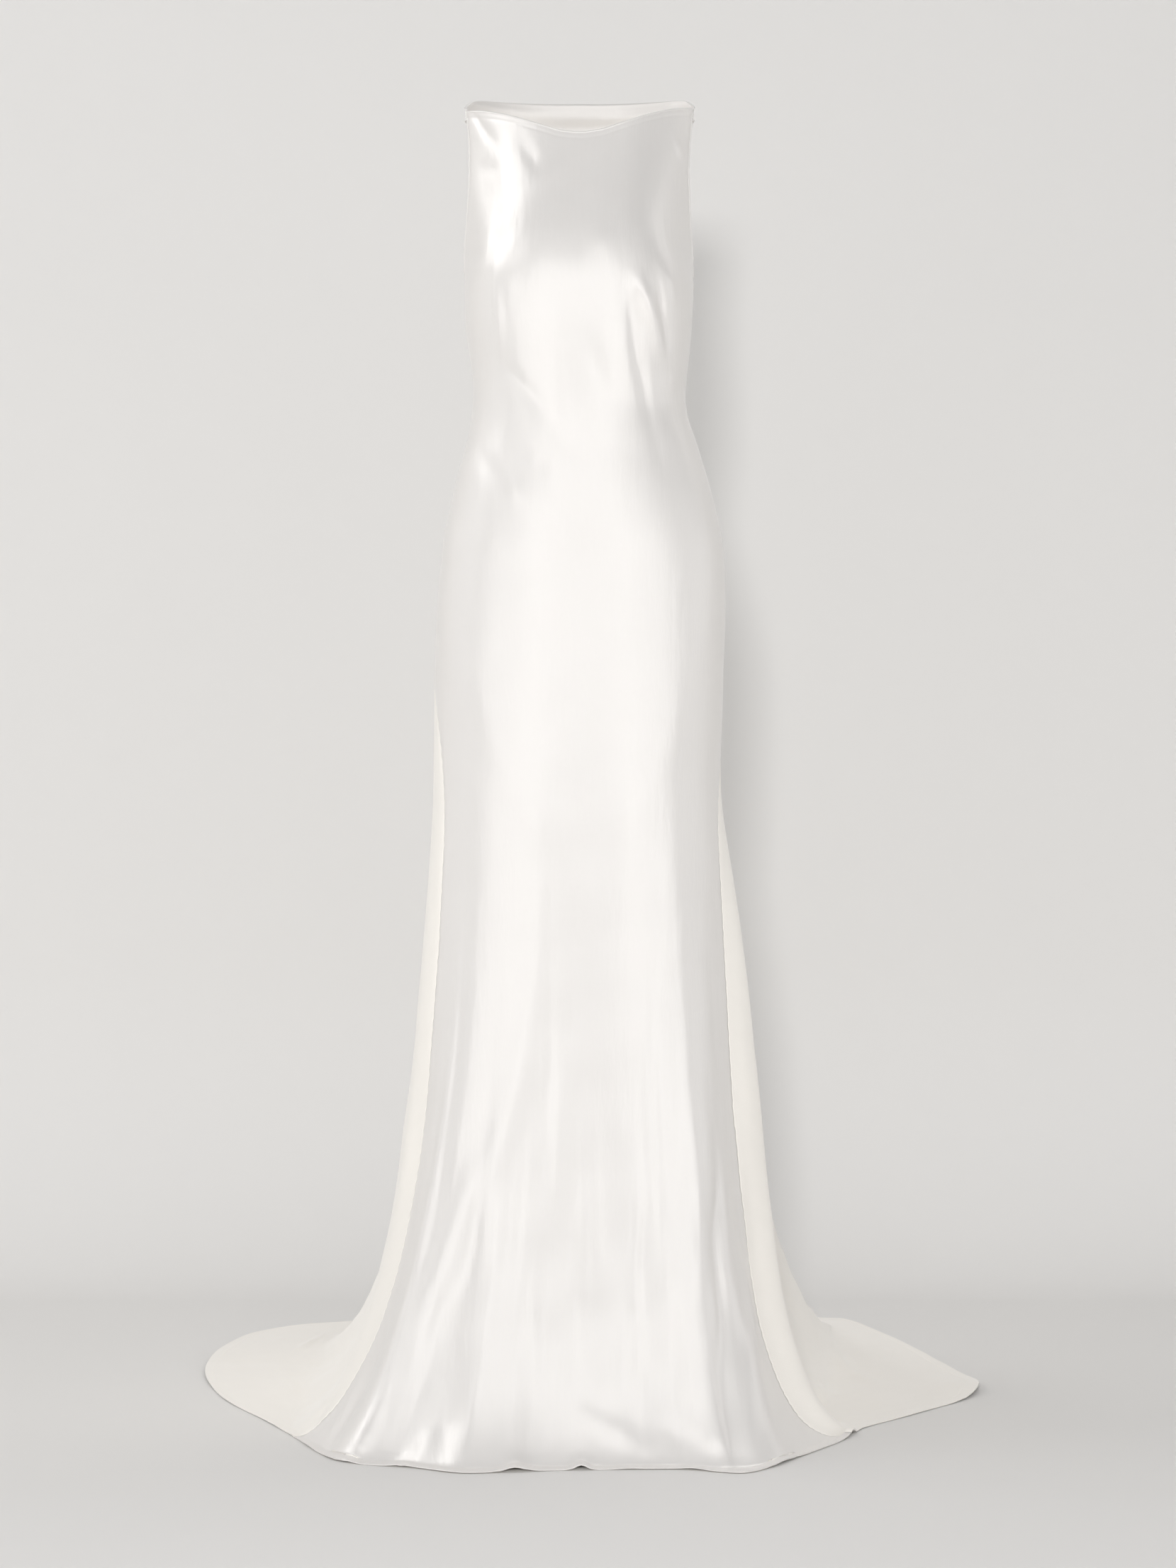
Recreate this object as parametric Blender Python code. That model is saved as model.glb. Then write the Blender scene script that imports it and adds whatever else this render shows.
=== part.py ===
"""Open-back sleeveless gown with a floor-length train, filled out as on a wearer.

Metres, +Z up. The gown faces -Y. The origin lies midway between the two shoulder
tips, the floor is at FLOOR_Z. +X is the right of the gown as seen from the front.
"""

import math

import bmesh
import bpy
import numpy as np

# Cloth
WALL = 0.002
SEAM_GAP = 0.0003
FLOOR_Z = -1.5

# Lengths down the gown
TOP_Z = 0.020
UNDERARM_Z = -0.192
SKIRT_TOP_Z = -0.80
SKIRT_LENGTH = 0.74
FLOOR_LENGTH = 0.16
FINE_STEP = 0.004
FINE_SKIRT_ROWS = 320

# Rounding of the bends at the skirt's top and at the floor
BLEND_REACH = 0.070
FLOOR_REACH = 0.022
AVERAGE_WIDTH = 0.6
FLOOR_BEND = 0.35
LYING_WITHIN = 0.0022

# Folds on the floor: the share where they begin to sink, how fast, and what is
# left of them at the hem
FLOOR_FOLD_FROM = 0.96
FLOOR_FOLD_FALL = 0.5
FLOOR_FOLD_SHARE = 0.35

# Neck band
BAND_END_DEPTH = 0.024
BAND_BACK_DEPTH = 0.076
BAND_ROLL = 0.006
BAND_SWELL = 1.2
BAND_LEVEL = 0.020

# Counts of cells. Panels that share a seam have the same rows along it.
FRONT_ACROSS = 32
BACK_ACROSS = 16
ARMHOLE_ROWS = 9
TORSO_ROWS = 18
SKIRT_ROWS = 24
FLOOR_ROWS = 6
BAND_ACROSS = 24
BAND_DEEP = 5

# Horizontal sections from the shoulders to the thighs. left and right are the half
# widths, front and back the depths from x axis, side the y of the widest point,
# square the exponent of the rounded outline. hung is the share of the front that hangs
# between the armholes in a shallow curve, with no turn towards the sides.
SECTION_COLUMNS = ("z", "left", "right", "front", "back", "side", "square", "hung")
SECTIONS = (
    (0.020, 0.1296, 0.1290, 0.0700, 0.072, 0.000, 2.00, 1.00),
    (0.000, 0.1300, 0.1293, 0.0730, 0.074, 0.000, 2.00, 1.00),
    (-0.033, 0.1270, 0.1261, 0.0790, 0.078, -0.002, 2.00, 1.00),
    (-0.066, 0.1261, 0.1245, 0.0880, 0.083, -0.004, 2.02, 1.00),
    (-0.098, 0.1278, 0.1253, 0.0985, 0.088, -0.004, 2.05, 1.00),
    (-0.130, 0.1302, 0.1270, 0.1095, 0.093, -0.002, 2.10, 0.85),
    (-0.163, 0.1326, 0.1294, 0.1190, 0.097, 0.001, 2.15, 0.50),
    (-0.195, 0.1318, 0.1302, 0.1230, 0.098, 0.004, 2.18, 0.12),
    (-0.244, 0.1302, 0.1278, 0.1210, 0.094, 0.004, 2.18, 0.00),
    (-0.276, 0.1261, 0.1253, 0.1180, 0.087, 0.003, 2.15, 0.00),
    (-0.310, 0.1215, 0.1214, 0.1140, 0.080, 0.001, 2.12, 0.00),
    (-0.325, 0.1215, 0.1203, 0.1125, 0.077, 0.000, 2.12, 0.00),
    (-0.341, 0.1229, 0.1215, 0.1110, 0.077, 0.000, 2.12, 0.00),
    (-0.373, 0.1280, 0.1322, 0.1090, 0.083, 0.000, 2.14, 0.00),
    (-0.405, 0.1380, 0.1423, 0.1080, 0.091, 0.002, 2.16, 0.00),
    (-0.438, 0.1456, 0.1520, 0.1080, 0.101, 0.004, 2.18, 0.00),
    (-0.502, 0.1569, 0.1646, 0.1090, 0.116, 0.006, 2.20, 0.00),
    (-0.567, 0.1633, 0.1666, 0.1110, 0.123, 0.008, 2.20, 0.00),
    (-0.632, 0.1658, 0.1642, 0.1130, 0.121, 0.009, 2.20, 0.00),
    (-0.697, 0.1666, 0.1625, 0.1150, 0.117, 0.010, 2.20, 0.00),
    (-0.761, 0.1672, 0.1606, 0.1170, 0.115, 0.010, 2.20, 0.00),
    (-0.830, 0.1680, 0.1640, 0.1190, 0.118, 0.010, 2.20, 0.00),
)

# How evenly the hanging share runs across before it turns back at the armholes.
HUNG_POWER = 2.7

# Angle of the front panel's edges, in degrees from the front centre: the armhole
# down to the underarm, the side seam below it.
EDGE_COLUMNS = ("z", "left", "right")
EDGES = (
    (0.020, 90, 90),
    (-0.020, 90, 90),
    (-0.100, 88, 88),
    (-0.160, 90, 90),
    (-0.200, 95, 95),
    (-0.270, 101, 101),
    (-0.400, 101, 101),
    (-0.560, 96, 99),
    (-0.640, 88, 95),
    (-0.700, 71, 91),
    (-0.760, 64, 82),
    (-0.800, 62, 70),
    (-0.830, 61, 64),
)

# Meridians of the skirt. station is 0 at the front centre, 1 at a side seam and 2
# at the centre back, negative on the left. lean_x, lean_y and drop place the upper
# handle from the skirt's top, low_x, low_y and rise the lower handle above the floor.
# touch is where the cloth meets the floor.
SKIRT_COLUMNS = (
    "station", "lean_x", "lean_y", "drop", "low_x", "low_y", "rise",
    "touch_x", "touch_y", "hem_x", "hem_y",
)
SKIRT = (
    (-2.00, 0.000, 0.020, 0.34, 0.000, 0.270, 0.00, 0.000, 0.560, 0.000, 0.820),
    (-1.80, -0.010, 0.025, 0.33, -0.120, 0.330, 0.02, -0.160, 0.600, -0.150, 0.785),
    (-1.62, -0.018, 0.028, 0.32, -0.200, 0.390, 0.04, -0.290, 0.635, -0.320, 0.700),
    (-1.54, -0.024, 0.026, 0.31, -0.240, 0.400, 0.075, -0.336, 0.630, -0.386, 0.668),
    (-1.47, -0.022, 0.022, 0.30, -0.225, 0.280, 0.05, -0.335, 0.460, -0.450, 0.595),
    (-1.38, -0.020, 0.018, 0.29, -0.215, 0.170, 0.04, -0.330, 0.290, -0.472, 0.378),
    (-1.25, -0.022, 0.010, 0.28, -0.212, 0.070, 0.05, -0.328, 0.120, -0.435, 0.189),
    (-1.12, -0.023, 0.002, 0.28, -0.206, 0.000, 0.07, -0.328, 0.010, -0.365, 0.040),
    (-1.00, -0.014, -0.004, 0.28, -0.180, -0.050, 0.09, -0.312, -0.052, -0.321, -0.056),
    (-0.90, -0.005, -0.006, 0.28, -0.186, -0.088, 0.08, -0.284, -0.119, -0.292, -0.129),
    (-0.80, 0.000, -0.006, 0.28, -0.184, -0.118, 0.08, -0.254, -0.169, -0.263, -0.182),
    (-0.50, 0.000, -0.006, 0.29, -0.130, -0.146, 0.10, -0.168, -0.205, -0.173, -0.219),
    (-0.35, 0.000, -0.006, 0.30, -0.092, -0.152, 0.10, -0.120, -0.228, -0.124, -0.243),
    (0.00, 0.000, -0.006, 0.30, 0.000, -0.152, 0.10, 0.000, -0.212, 0.000, -0.226),
    (0.35, 0.000, -0.006, 0.30, 0.084, -0.150, 0.10, 0.100, -0.209, 0.103, -0.223),
    (0.60, 0.000, -0.006, 0.29, 0.134, -0.146, 0.10, 0.167, -0.228, 0.172, -0.243),
    (0.74, 0.002, -0.006, 0.28, 0.158, -0.125, 0.09, 0.201, -0.201, 0.206, -0.215),
    (0.87, 0.005, -0.006, 0.28, 0.172, -0.090, 0.06, 0.235, -0.150, 0.240, -0.162),
    (1.00, 0.020, -0.004, 0.28, 0.165, -0.050, 0.01, 0.292, -0.052, 0.306, -0.053),
    (1.10, 0.062, 0.006, 0.28, 0.203, 0.000, 0.06, 0.306, -0.018, 0.320, -0.012),
    (1.22, 0.030, 0.014, 0.29, 0.190, 0.075, 0.03, 0.288, 0.090, 0.404, 0.090),
    (1.35, 0.025, 0.020, 0.29, 0.208, 0.160, 0.03, 0.302, 0.230, 0.487, 0.233),
    (1.44, 0.030, 0.024, 0.29, 0.226, 0.260, 0.05, 0.322, 0.420, 0.444, 0.455),
    (1.52, 0.036, 0.028, 0.29, 0.246, 0.360, 0.065, 0.330, 0.645, 0.362, 0.710),
    (1.62, 0.030, 0.026, 0.31, 0.220, 0.370, 0.05, 0.285, 0.650, 0.304, 0.745),
    (1.80, 0.012, 0.022, 0.33, 0.130, 0.330, 0.02, 0.150, 0.605, 0.150, 0.800),
    (2.00, 0.000, 0.020, 0.34, 0.000, 0.270, 0.00, 0.000, 0.560, 0.000, 0.820),
)

# Folds of the skirt: station of the crest, half width in stations, height at the
# hem (negative for a trough), and the share of the skirt where it begins.
FOLD_COLUMNS = ("station", "width", "height", "begins")
FOLDS = (
    (-1.72, 0.075, 0.012, 0.30),
    (-1.56, 0.055, -0.010, 0.35),
    (-1.33, 0.055, 0.007, 0.55),
    (-0.80, 0.070, 0.012, 0.35),
    (-0.62, 0.075, -0.013, 0.35),
    (-0.42, 0.070, 0.007, 0.40),
    (-0.13, 0.065, -0.011, 0.25),
    (0.05, 0.070, 0.006, 0.35),
    (0.28, 0.055, -0.008, 0.45),
    (0.43, 0.065, 0.007, 0.40),
    (0.62, 0.060, -0.012, 0.35),
    (0.80, 0.060, 0.013, 0.35),
    (1.22, 0.050, -0.012, 0.40),
    (1.50, 0.060, 0.009, 0.35),
    (1.68, 0.055, -0.010, 0.35),
    (1.82, 0.060, 0.009, 0.30),
)

# Rounded forms of the torso: station and z of the middle, half widths in stations
# and metres, and height.
FORM_COLUMNS = ("station", "z", "wide", "deep", "height")
FORMS = (
    (-0.46, -0.190, 0.27, 0.062, 0.0045),
    (0.46, -0.188, 0.27, 0.062, 0.0042),
    (0.00, -0.190, 0.16, 0.060, -0.0015),
    (0.00, -0.450, 0.40, 0.070, 0.0030),
    (-1.58, -0.575, 0.22, 0.075, 0.0090),
    (1.58, -0.575, 0.22, 0.075, 0.0090),
)

# Heights of the free edges
NECK_COLUMNS = ("station", "z")
NECKLINE = (
    (-1.00, 0.0020),
    (-0.84, -0.0040),
    (-0.60, -0.0150),
    (-0.36, -0.0270),
    (-0.12, -0.0365),
    (0.00, -0.0375),
    (0.18, -0.0345),
    (0.36, -0.0260),
    (0.60, -0.0130),
    (0.84, -0.0010),
    (1.00, 0.0050),
)
SCOOP_COLUMNS = ("station", "z")
SCOOP = (
    (1.00, UNDERARM_Z),
    (1.10, -0.215),
    (1.25, -0.262),
    (1.45, -0.330),
    (1.70, -0.395),
    (1.90, -0.420),
    (2.00, -0.424),
)
BAND_COLUMNS = ("turn", "top")
BAND_TOP = (
    (0.00, 0.0030),
    (0.12, 0.0110),
    (0.27, 0.0195),
    (0.50, 0.0225),
    (1.00, 0.0246),
)


def columns(names, rows):
    """The table as a dictionary of arrays, one for each named column."""
    return {name: np.array(column, float) for name, column in zip(names, zip(*rows))}


def ordered(table, key):
    """The table with its rows in rising order of one column."""
    order = np.argsort(table[key])
    return {name: column[order] for name, column in table.items()}


def smooth(xs, ys, x):
    """A curve through the points (xs, ys), read at x, with no overshoot."""
    gap = np.diff(xs)
    slope = np.diff(ys) / gap
    tangent = np.zeros(len(xs))
    tangent[0], tangent[-1] = slope[0], slope[-1]
    same_way = slope[:-1] * slope[1:] > 0
    weight = 2 * gap[1:] + gap[:-1], gap[1:] + 2 * gap[:-1]
    before = np.where(same_way, slope[:-1], 1.0)
    after = np.where(same_way, slope[1:], 1.0)
    mean = (weight[0] + weight[1]) / (weight[0] / before + weight[1] / after)
    tangent[1:-1] = np.where(same_way, mean, 0.0)
    x = np.clip(x, xs[0], xs[-1])
    place = np.clip(np.searchsorted(xs, x) - 1, 0, len(gap) - 1)
    t = (x - xs[place]) / gap[place]
    rise = gap[place]
    return (
        ys[place] * (2 * t**3 - 3 * t**2 + 1)
        + tangent[place] * rise * (t**3 - 2 * t**2 + t)
        + ys[place + 1] * (3 * t**2 - 2 * t**3)
        + tangent[place + 1] * rise * (t**3 - t**2)
    )


SECTION = ordered(columns(SECTION_COLUMNS, SECTIONS), "z")
EDGE = ordered(columns(EDGE_COLUMNS, EDGES), "z")
MERIDIAN = columns(SKIRT_COLUMNS, SKIRT)
FOLD = columns(FOLD_COLUMNS, FOLDS)
FORM = columns(FORM_COLUMNS, FORMS)
NECK = columns(NECK_COLUMNS, NECKLINE)
BACK_EDGE = columns(SCOOP_COLUMNS, SCOOP)
BAND = columns(BAND_COLUMNS, BAND_TOP)


def body_point(station, z):
    """Points of the torso at the stations and heights given, which are arrays."""
    left = station < 0
    edge = np.where(left, smooth(EDGE["z"], EDGE["left"], z), smooth(EDGE["z"], EDGE["right"], z))
    edge = np.radians(edge)
    reach = np.abs(station)
    angle = np.where(reach <= 1, reach * edge, edge + (reach - 1) * (math.pi - edge))
    across = np.where(
        left, smooth(SECTION["z"], SECTION["left"], z), smooth(SECTION["z"], SECTION["right"], z)
    )
    side = smooth(SECTION["z"], SECTION["side"], z)
    front = smooth(SECTION["z"], SECTION["front"], z)
    back = smooth(SECTION["z"], SECTION["back"], z)
    square = smooth(SECTION["z"], SECTION["square"], z)
    sine, cosine = np.sin(angle), np.cos(angle)
    spread = (np.abs(sine) ** square + np.abs(cosine) ** square) ** (1 / square)
    deep = np.where(cosine > 0, front + side, back - side)
    x = np.where(left, -1, 1) * across * sine / spread
    y = side - deep * cosine / spread
    hung = np.where(reach <= 1, smooth(SECTION["z"], SECTION["hung"], z), 0)
    x = x + hung * (across * station - x)
    y = y + hung * (side - (front + side) * (1 - reach**HUNG_POWER) - y)
    return np.stack([x, y, z + 0 * x], axis=-1)


def skirt_point(station, share):
    """Points of the skirt. share is 0 at its top, 1 at the floor and 2 at the hem."""
    value = {name: smooth(MERIDIAN["station"], MERIDIAN[name], station) for name in SKIRT_COLUMNS}
    floor = np.full_like(station, FLOOR_Z + WALL)
    top = body_point(station, np.full_like(station, SKIRT_TOP_Z))
    upper = top + np.stack([value["lean_x"], value["lean_y"], -value["drop"]], axis=-1)
    lower = np.stack([value["low_x"], value["low_y"], floor + value["rise"]], axis=-1)
    touch = np.stack([value["touch_x"], value["touch_y"], floor], axis=-1)
    hem = np.stack([value["hem_x"], value["hem_y"], floor], axis=-1)
    t = np.clip(share, 0, 1)[..., None]
    falling = (
        top * (1 - t) ** 3
        + 3 * upper * t * (1 - t) ** 2
        + 3 * lower * t**2 * (1 - t)
        + touch * t**3
    )
    way = (touch - lower) * np.array([1, 1, 0])
    way = way / np.linalg.norm(way, axis=-1, keepdims=True)
    bend = touch + way * np.linalg.norm(hem - touch, axis=-1, keepdims=True) * FLOOR_BEND
    t = np.clip(share - 1, 0, 1)[..., None]
    lying = touch * (1 - t) ** 2 + 2 * bend * t * (1 - t) + hem * t**2
    return np.where(share[..., None] <= 1, falling, lying)


def bell(value, middle, wide):
    """A rounded bump of height 1."""
    return np.exp(-(((value - middle) / wide) ** 2))


def form_height(station, z):
    """How far the rounded forms stand out of the torso."""
    height = np.zeros_like(z)
    for middle, level, wide, deep, tall in zip(*(FORM[name] for name in FORM_COLUMNS)):
        height += tall * bell(station, middle, wide) * bell(z, level, deep)
    return height


def fold_height(station, share):
    """How far the folds stand out of the skirt. They die away along the floor."""
    height = np.zeros_like(station)
    for crest, width, tall, begins in zip(*(FOLD[name] for name in FOLD_COLUMNS)):
        grown = np.clip((share - begins) / (1 - begins), 0, 1)
        height += tall * grown * grown * (3 - 2 * grown) * bell(station, crest, width)
    settled = np.clip((share - FLOOR_FOLD_FROM) / (2 - FLOOR_FOLD_FROM), 0, 1)
    return height * (1 - (1 - FLOOR_FOLD_SHARE) * settled**FLOOR_FOLD_FALL)


def averaged(points, place, join, reach):
    """The same meridians with the bend at join spread over reach either way."""
    result = points.copy()
    centre_way = np.gradient(points, place, axis=0)
    for row in np.flatnonzero(np.abs(place - join) < 2 * reach):
        near = 1 - abs(place[row] - join) / (2 * reach)
        weight = bell(place, place[row], reach * AVERAGE_WIDTH)
        weight = weight / weight.sum()
        mean = np.einsum("r,rcx->cx", weight, points)
        mean = mean + centre_way[row] * (place[row] - weight @ place)
        result[row] = points[row] + near * (mean - points[row])
    return result


def normals(points):
    """Outward normals of a grid of points."""
    down = np.gradient(points, axis=0)
    across = np.gradient(points, axis=1)
    normal = np.cross(down, across)
    return normal / np.linalg.norm(normal, axis=2, keepdims=True)


def meridians(station):
    """Finely stepped meridians of the cloth's outer face at the stations given.

    Returns the points and the places of their rows along a meridian.
    """
    level = np.arange(TOP_Z, SKIRT_TOP_Z, -FINE_STEP)
    share = np.linspace(0, 2, FINE_SKIRT_ROWS + 1)
    shape = (len(level), len(station))
    body = body_point(np.broadcast_to(station, shape), np.broadcast_to(level[:, None], shape))
    shape = (len(share), len(station))
    across = np.broadcast_to(station, shape).copy()
    down = np.broadcast_to(share[:, None], shape).copy()
    points = np.concatenate([body, skirt_point(across, down)])
    fall = np.minimum(share, 1) * SKIRT_LENGTH + np.maximum(share - 1, 0) * FLOOR_LENGTH
    place = np.concatenate([TOP_Z - level, TOP_Z - SKIRT_TOP_Z + fall])
    points = averaged(points, place, TOP_Z - SKIRT_TOP_Z, BLEND_REACH)
    floor_place = TOP_Z - SKIRT_TOP_Z + SKIRT_LENGTH
    points = averaged(points, place, floor_place, FLOOR_REACH)
    height = np.zeros(points.shape[:2])
    height[: len(level)] = form_height(
        np.broadcast_to(station, body.shape[:2]), body[..., 2]
    )
    height[len(level) :] = fold_height(across, down)
    points = points + normals(points) * height[..., None]
    points[..., 2] = np.maximum(points[..., 2], FLOOR_Z + WALL)
    return points, place


def panel_faces(station, levels):
    """Outer and inner faces of a panel.

    The first and last stations lie past its edges. levels holds the heights of its
    torso rows, one column for each station.
    """
    points, place = meridians(station)
    normal = normals(points)
    inner = points - WALL * normal
    lying = points[..., 2] < FLOOR_Z + LYING_WITHIN
    inner[..., 2] = np.where(lying, points[..., 2] - WALL, np.maximum(inner[..., 2], FLOOR_Z))
    torso_place = TOP_Z - levels
    fall = np.linspace(0, 1, SKIRT_ROWS + 1)[:-1]
    lie = np.linspace(0, 1, FLOOR_ROWS + 1)
    run = np.concatenate([fall * SKIRT_LENGTH, SKIRT_LENGTH + lie * FLOOR_LENGTH])
    skirt_place = np.broadcast_to(
        TOP_Z - SKIRT_TOP_Z + run[:, None], (len(run), len(station))
    )
    wanted = np.concatenate([torso_place, skirt_place])
    faces = []
    for grid in (points, inner):
        face = np.empty(wanted.shape + (3,))
        for c in range(len(station)):
            for axis in range(3):
                face[:, c, axis] = np.interp(wanted[:, c], place, grid[:, c, axis])
        faces.append(face)
    return faces


def evenly(start, end, count):
    """Heights stepping evenly from start towards end, which is left out."""
    return start + (end - start) * np.linspace(0, 1, count + 1)[:-1, None]


def trimmed(grid, gap):
    """The grid without its first and last columns, its edges set back by half a seam gap."""
    kept = grid[:, 1:-1].copy()
    for edge, inside in ((0, 1), (-1, -2)):
        way = kept[:, inside] - kept[:, edge]
        way = way / np.linalg.norm(way, axis=1, keepdims=True)
        kept[:, edge] += way * gap / 2
    return kept


def cloth_material(name, colour, roughness, sheen):
    """A Principled material for one piece of cloth."""
    material = bpy.data.materials.new(name)
    material.use_nodes = True
    shader = material.node_tree.nodes["Principled BSDF"]
    shader.inputs["Base Color"].default_value = (*colour, 1)
    shader.inputs["Roughness"].default_value = roughness
    shader.inputs["Sheen Weight"].default_value = sheen
    return material


def wall(name, outer, inner, material):
    """One closed piece of cloth between two grids of points."""
    rows, across = outer.shape[:2]
    mesh = bmesh.new()
    outside = [[mesh.verts.new(outer[r, c]) for c in range(across)] for r in range(rows)]
    inside = [[mesh.verts.new(inner[r, c]) for c in range(across)] for r in range(rows)]
    for r in range(rows - 1):
        for c in range(across - 1):
            mesh.faces.new(
                (outside[r][c], outside[r + 1][c], outside[r + 1][c + 1], outside[r][c + 1])
            )
            mesh.faces.new(
                (inside[r][c], inside[r][c + 1], inside[r + 1][c + 1], inside[r + 1][c])
            )
    rim = [(0, c) for c in range(across)]
    rim += [(r, across - 1) for r in range(1, rows)]
    rim += [(rows - 1, c) for c in range(across - 2, -1, -1)]
    rim += [(r, 0) for r in range(rows - 2, 0, -1)]
    for (r, c), (s, d) in zip(rim, rim[1:] + rim[:1]):
        mesh.faces.new((outside[r][c], outside[s][d], inside[s][d], inside[r][c]))
    bmesh.ops.recalc_face_normals(mesh, faces=mesh.faces)
    data = bpy.data.meshes.new(name)
    mesh.to_mesh(data)
    mesh.free()
    data.polygons.foreach_set("use_smooth", np.ones(len(data.polygons), bool))
    data.materials.append(material)
    piece = bpy.data.objects.new(name, data)
    bpy.context.scene.collection.objects.link(piece)
    return piece


def front_panel(material):
    """The satin front, from the neckline and armholes to the front hem."""
    step = 2 / FRONT_ACROSS
    station = np.linspace(-1 - step, 1 + step, FRONT_ACROSS + 3)
    top_z = smooth(NECK["station"], NECK["z"], station)
    underarm = np.full_like(top_z, UNDERARM_Z)
    chest = evenly(top_z, underarm, ARMHOLE_ROWS)
    waist = evenly(underarm, np.full_like(top_z, SKIRT_TOP_Z), TORSO_ROWS)
    outer, inner = panel_faces(station, np.concatenate([chest, waist]))
    return wall("front_panel", trimmed(outer, SEAM_GAP), trimmed(inner, SEAM_GAP), material)


def back_panel(name, side, material):
    """A back panel, from its side seam to the centre back seam, with half the train."""
    step = 1 / BACK_ACROSS
    reach = np.linspace(1 - step, 2 + step, BACK_ACROSS + 3)
    station = np.where(reach > 2, reach - 4, reach)
    top_z = smooth(BACK_EDGE["station"], BACK_EDGE["z"], reach)
    if side < 0:
        station, top_z = -station[::-1], top_z[::-1]
    outer, inner = panel_faces(station, evenly(top_z, SKIRT_TOP_Z, TORSO_ROWS))
    return wall(name, trimmed(outer, SEAM_GAP), trimmed(inner, SEAM_GAP), material)


def neck_band(material):
    """The soft satin band behind the neck, from shoulder tip to shoulder tip."""
    turn = np.linspace(0, 2, BAND_ACROSS + 1)
    near = np.minimum(turn, 2 - turn)
    side = np.where(turn < 1, -1, 1)
    top = smooth(BAND["turn"], BAND["top"], near)
    swell = np.sin(near * math.pi / 2)
    depth = BAND_END_DEPTH + (BAND_BACK_DEPTH - BAND_END_DEPTH) * swell**BAND_SWELL
    down = np.linspace(0, 1, BAND_DEEP + 1)
    z = top[None, :] - depth[None, :] * down[:, None]
    reach = side * (1 + near)
    level = np.clip(z, -BAND_LEVEL, BAND_LEVEL)
    points = body_point(np.broadcast_to(reach, z.shape), level)
    points[..., 2] = z
    lean = BAND_ROLL * swell[None, :] * (1 - 2 * down[:, None])
    points[..., 1] += lean
    normal = normals(points)
    inner = points - WALL * normal
    for grid in (points, inner):
        grid[:, 0, 1] += SEAM_GAP
        grid[:, -1, 1] += SEAM_GAP
    return wall("back_neck_band", points, inner, material)


for leftover in list(bpy.data.objects):
    bpy.data.objects.remove(leftover)

front_satin = cloth_material("front_satin", (0.86, 0.83, 0.80), 0.34, 0.15)
left_crepe = cloth_material("left_crepe", (0.85, 0.82, 0.77), 0.72, 0.25)
right_crepe = cloth_material("right_crepe", (0.85, 0.82, 0.77), 0.72, 0.25)
band_satin = cloth_material("band_satin", (0.86, 0.83, 0.80), 0.36, 0.15)

front_panel(front_satin)
back_panel("back_panel_left", -1, left_crepe)
back_panel("back_panel_right", 1, right_crepe)
neck_band(band_satin)
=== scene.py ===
"""Dresses the open-back gown: satin front, crepe back panels, neck band and train.

Metres, +Z up. The gown faces -Y and +X is its right as seen from the front. The origin
lies midway between the shoulder tips and the floor is at FLOOR_Z. The cloth is one
surface, described by stations round the gown and places down it, and each panel is a
thin shell cut from it.

A station is 0 at the front centre, 1 at a side seam and 2 at the centre back, negative
on the left. A place is the nominal distance below TOP_Z, measured down the cloth.
"""

from __future__ import annotations

import logging
import math
from dataclasses import dataclass, field
from enum import Enum

import bpy
import numpy as np
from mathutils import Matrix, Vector

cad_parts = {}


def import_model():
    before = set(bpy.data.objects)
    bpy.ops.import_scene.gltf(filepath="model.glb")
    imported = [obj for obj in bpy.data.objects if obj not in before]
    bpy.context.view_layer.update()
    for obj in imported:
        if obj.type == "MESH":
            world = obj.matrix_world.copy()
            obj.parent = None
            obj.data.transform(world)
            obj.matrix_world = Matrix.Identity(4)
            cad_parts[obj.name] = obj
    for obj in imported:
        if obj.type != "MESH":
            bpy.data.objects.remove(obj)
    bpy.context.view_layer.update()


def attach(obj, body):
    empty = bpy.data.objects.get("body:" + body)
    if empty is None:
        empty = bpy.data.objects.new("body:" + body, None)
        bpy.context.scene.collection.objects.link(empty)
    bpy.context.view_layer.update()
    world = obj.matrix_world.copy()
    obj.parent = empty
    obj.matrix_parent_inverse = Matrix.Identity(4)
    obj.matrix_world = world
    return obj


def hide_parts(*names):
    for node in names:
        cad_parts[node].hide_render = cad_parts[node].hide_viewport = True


LOG = logging.getLogger("gown")

Triple = tuple[float, float, float]
Socket = bpy.types.NodeSocket

FLOOR_Z = -1.5
TOP_Z = 0.020
SKIRT_TOP_Z = -0.80
SKIRT_LENGTH = 0.74
FLOOR_LENGTH = 0.16
TORSO_LENGTH = TOP_Z - SKIRT_TOP_Z
FLOOR_PLACE = TORSO_LENGTH + SKIRT_LENGTH
CLOTH_LENGTH = FLOOR_PLACE + FLOOR_LENGTH

CAMERA_PLACE = (0.0093, -3.6, -0.766)
LENS_PIXELS = 4452.0
PICTURE_HEIGHT = 2212.0

# Rows near a panel's top edge and its hem, as metres from the edge.
TOP_ROWS = (0, 0.0007, 0.0016, 0.0028, 0.0042, 0.0056, 0.0070, 0.0084, 0.010, 0.0125)
HEM_ROWS = (0.0140, 0.0125, 0.0110, 0.0090, 0.0060, 0.0030, 0.0012, 0)


class Side(Enum):
    """The two sides of the gown as seen from the front."""

    LEFT = -1
    RIGHT = 1


class Space(Enum):
    """How the points of a crease are given.

    SEEN gives x and z as seen by the camera on the plane y = 0. CLOTH gives station
    and place.
    """

    SEEN = "seen"
    CLOTH = "cloth"


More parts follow.
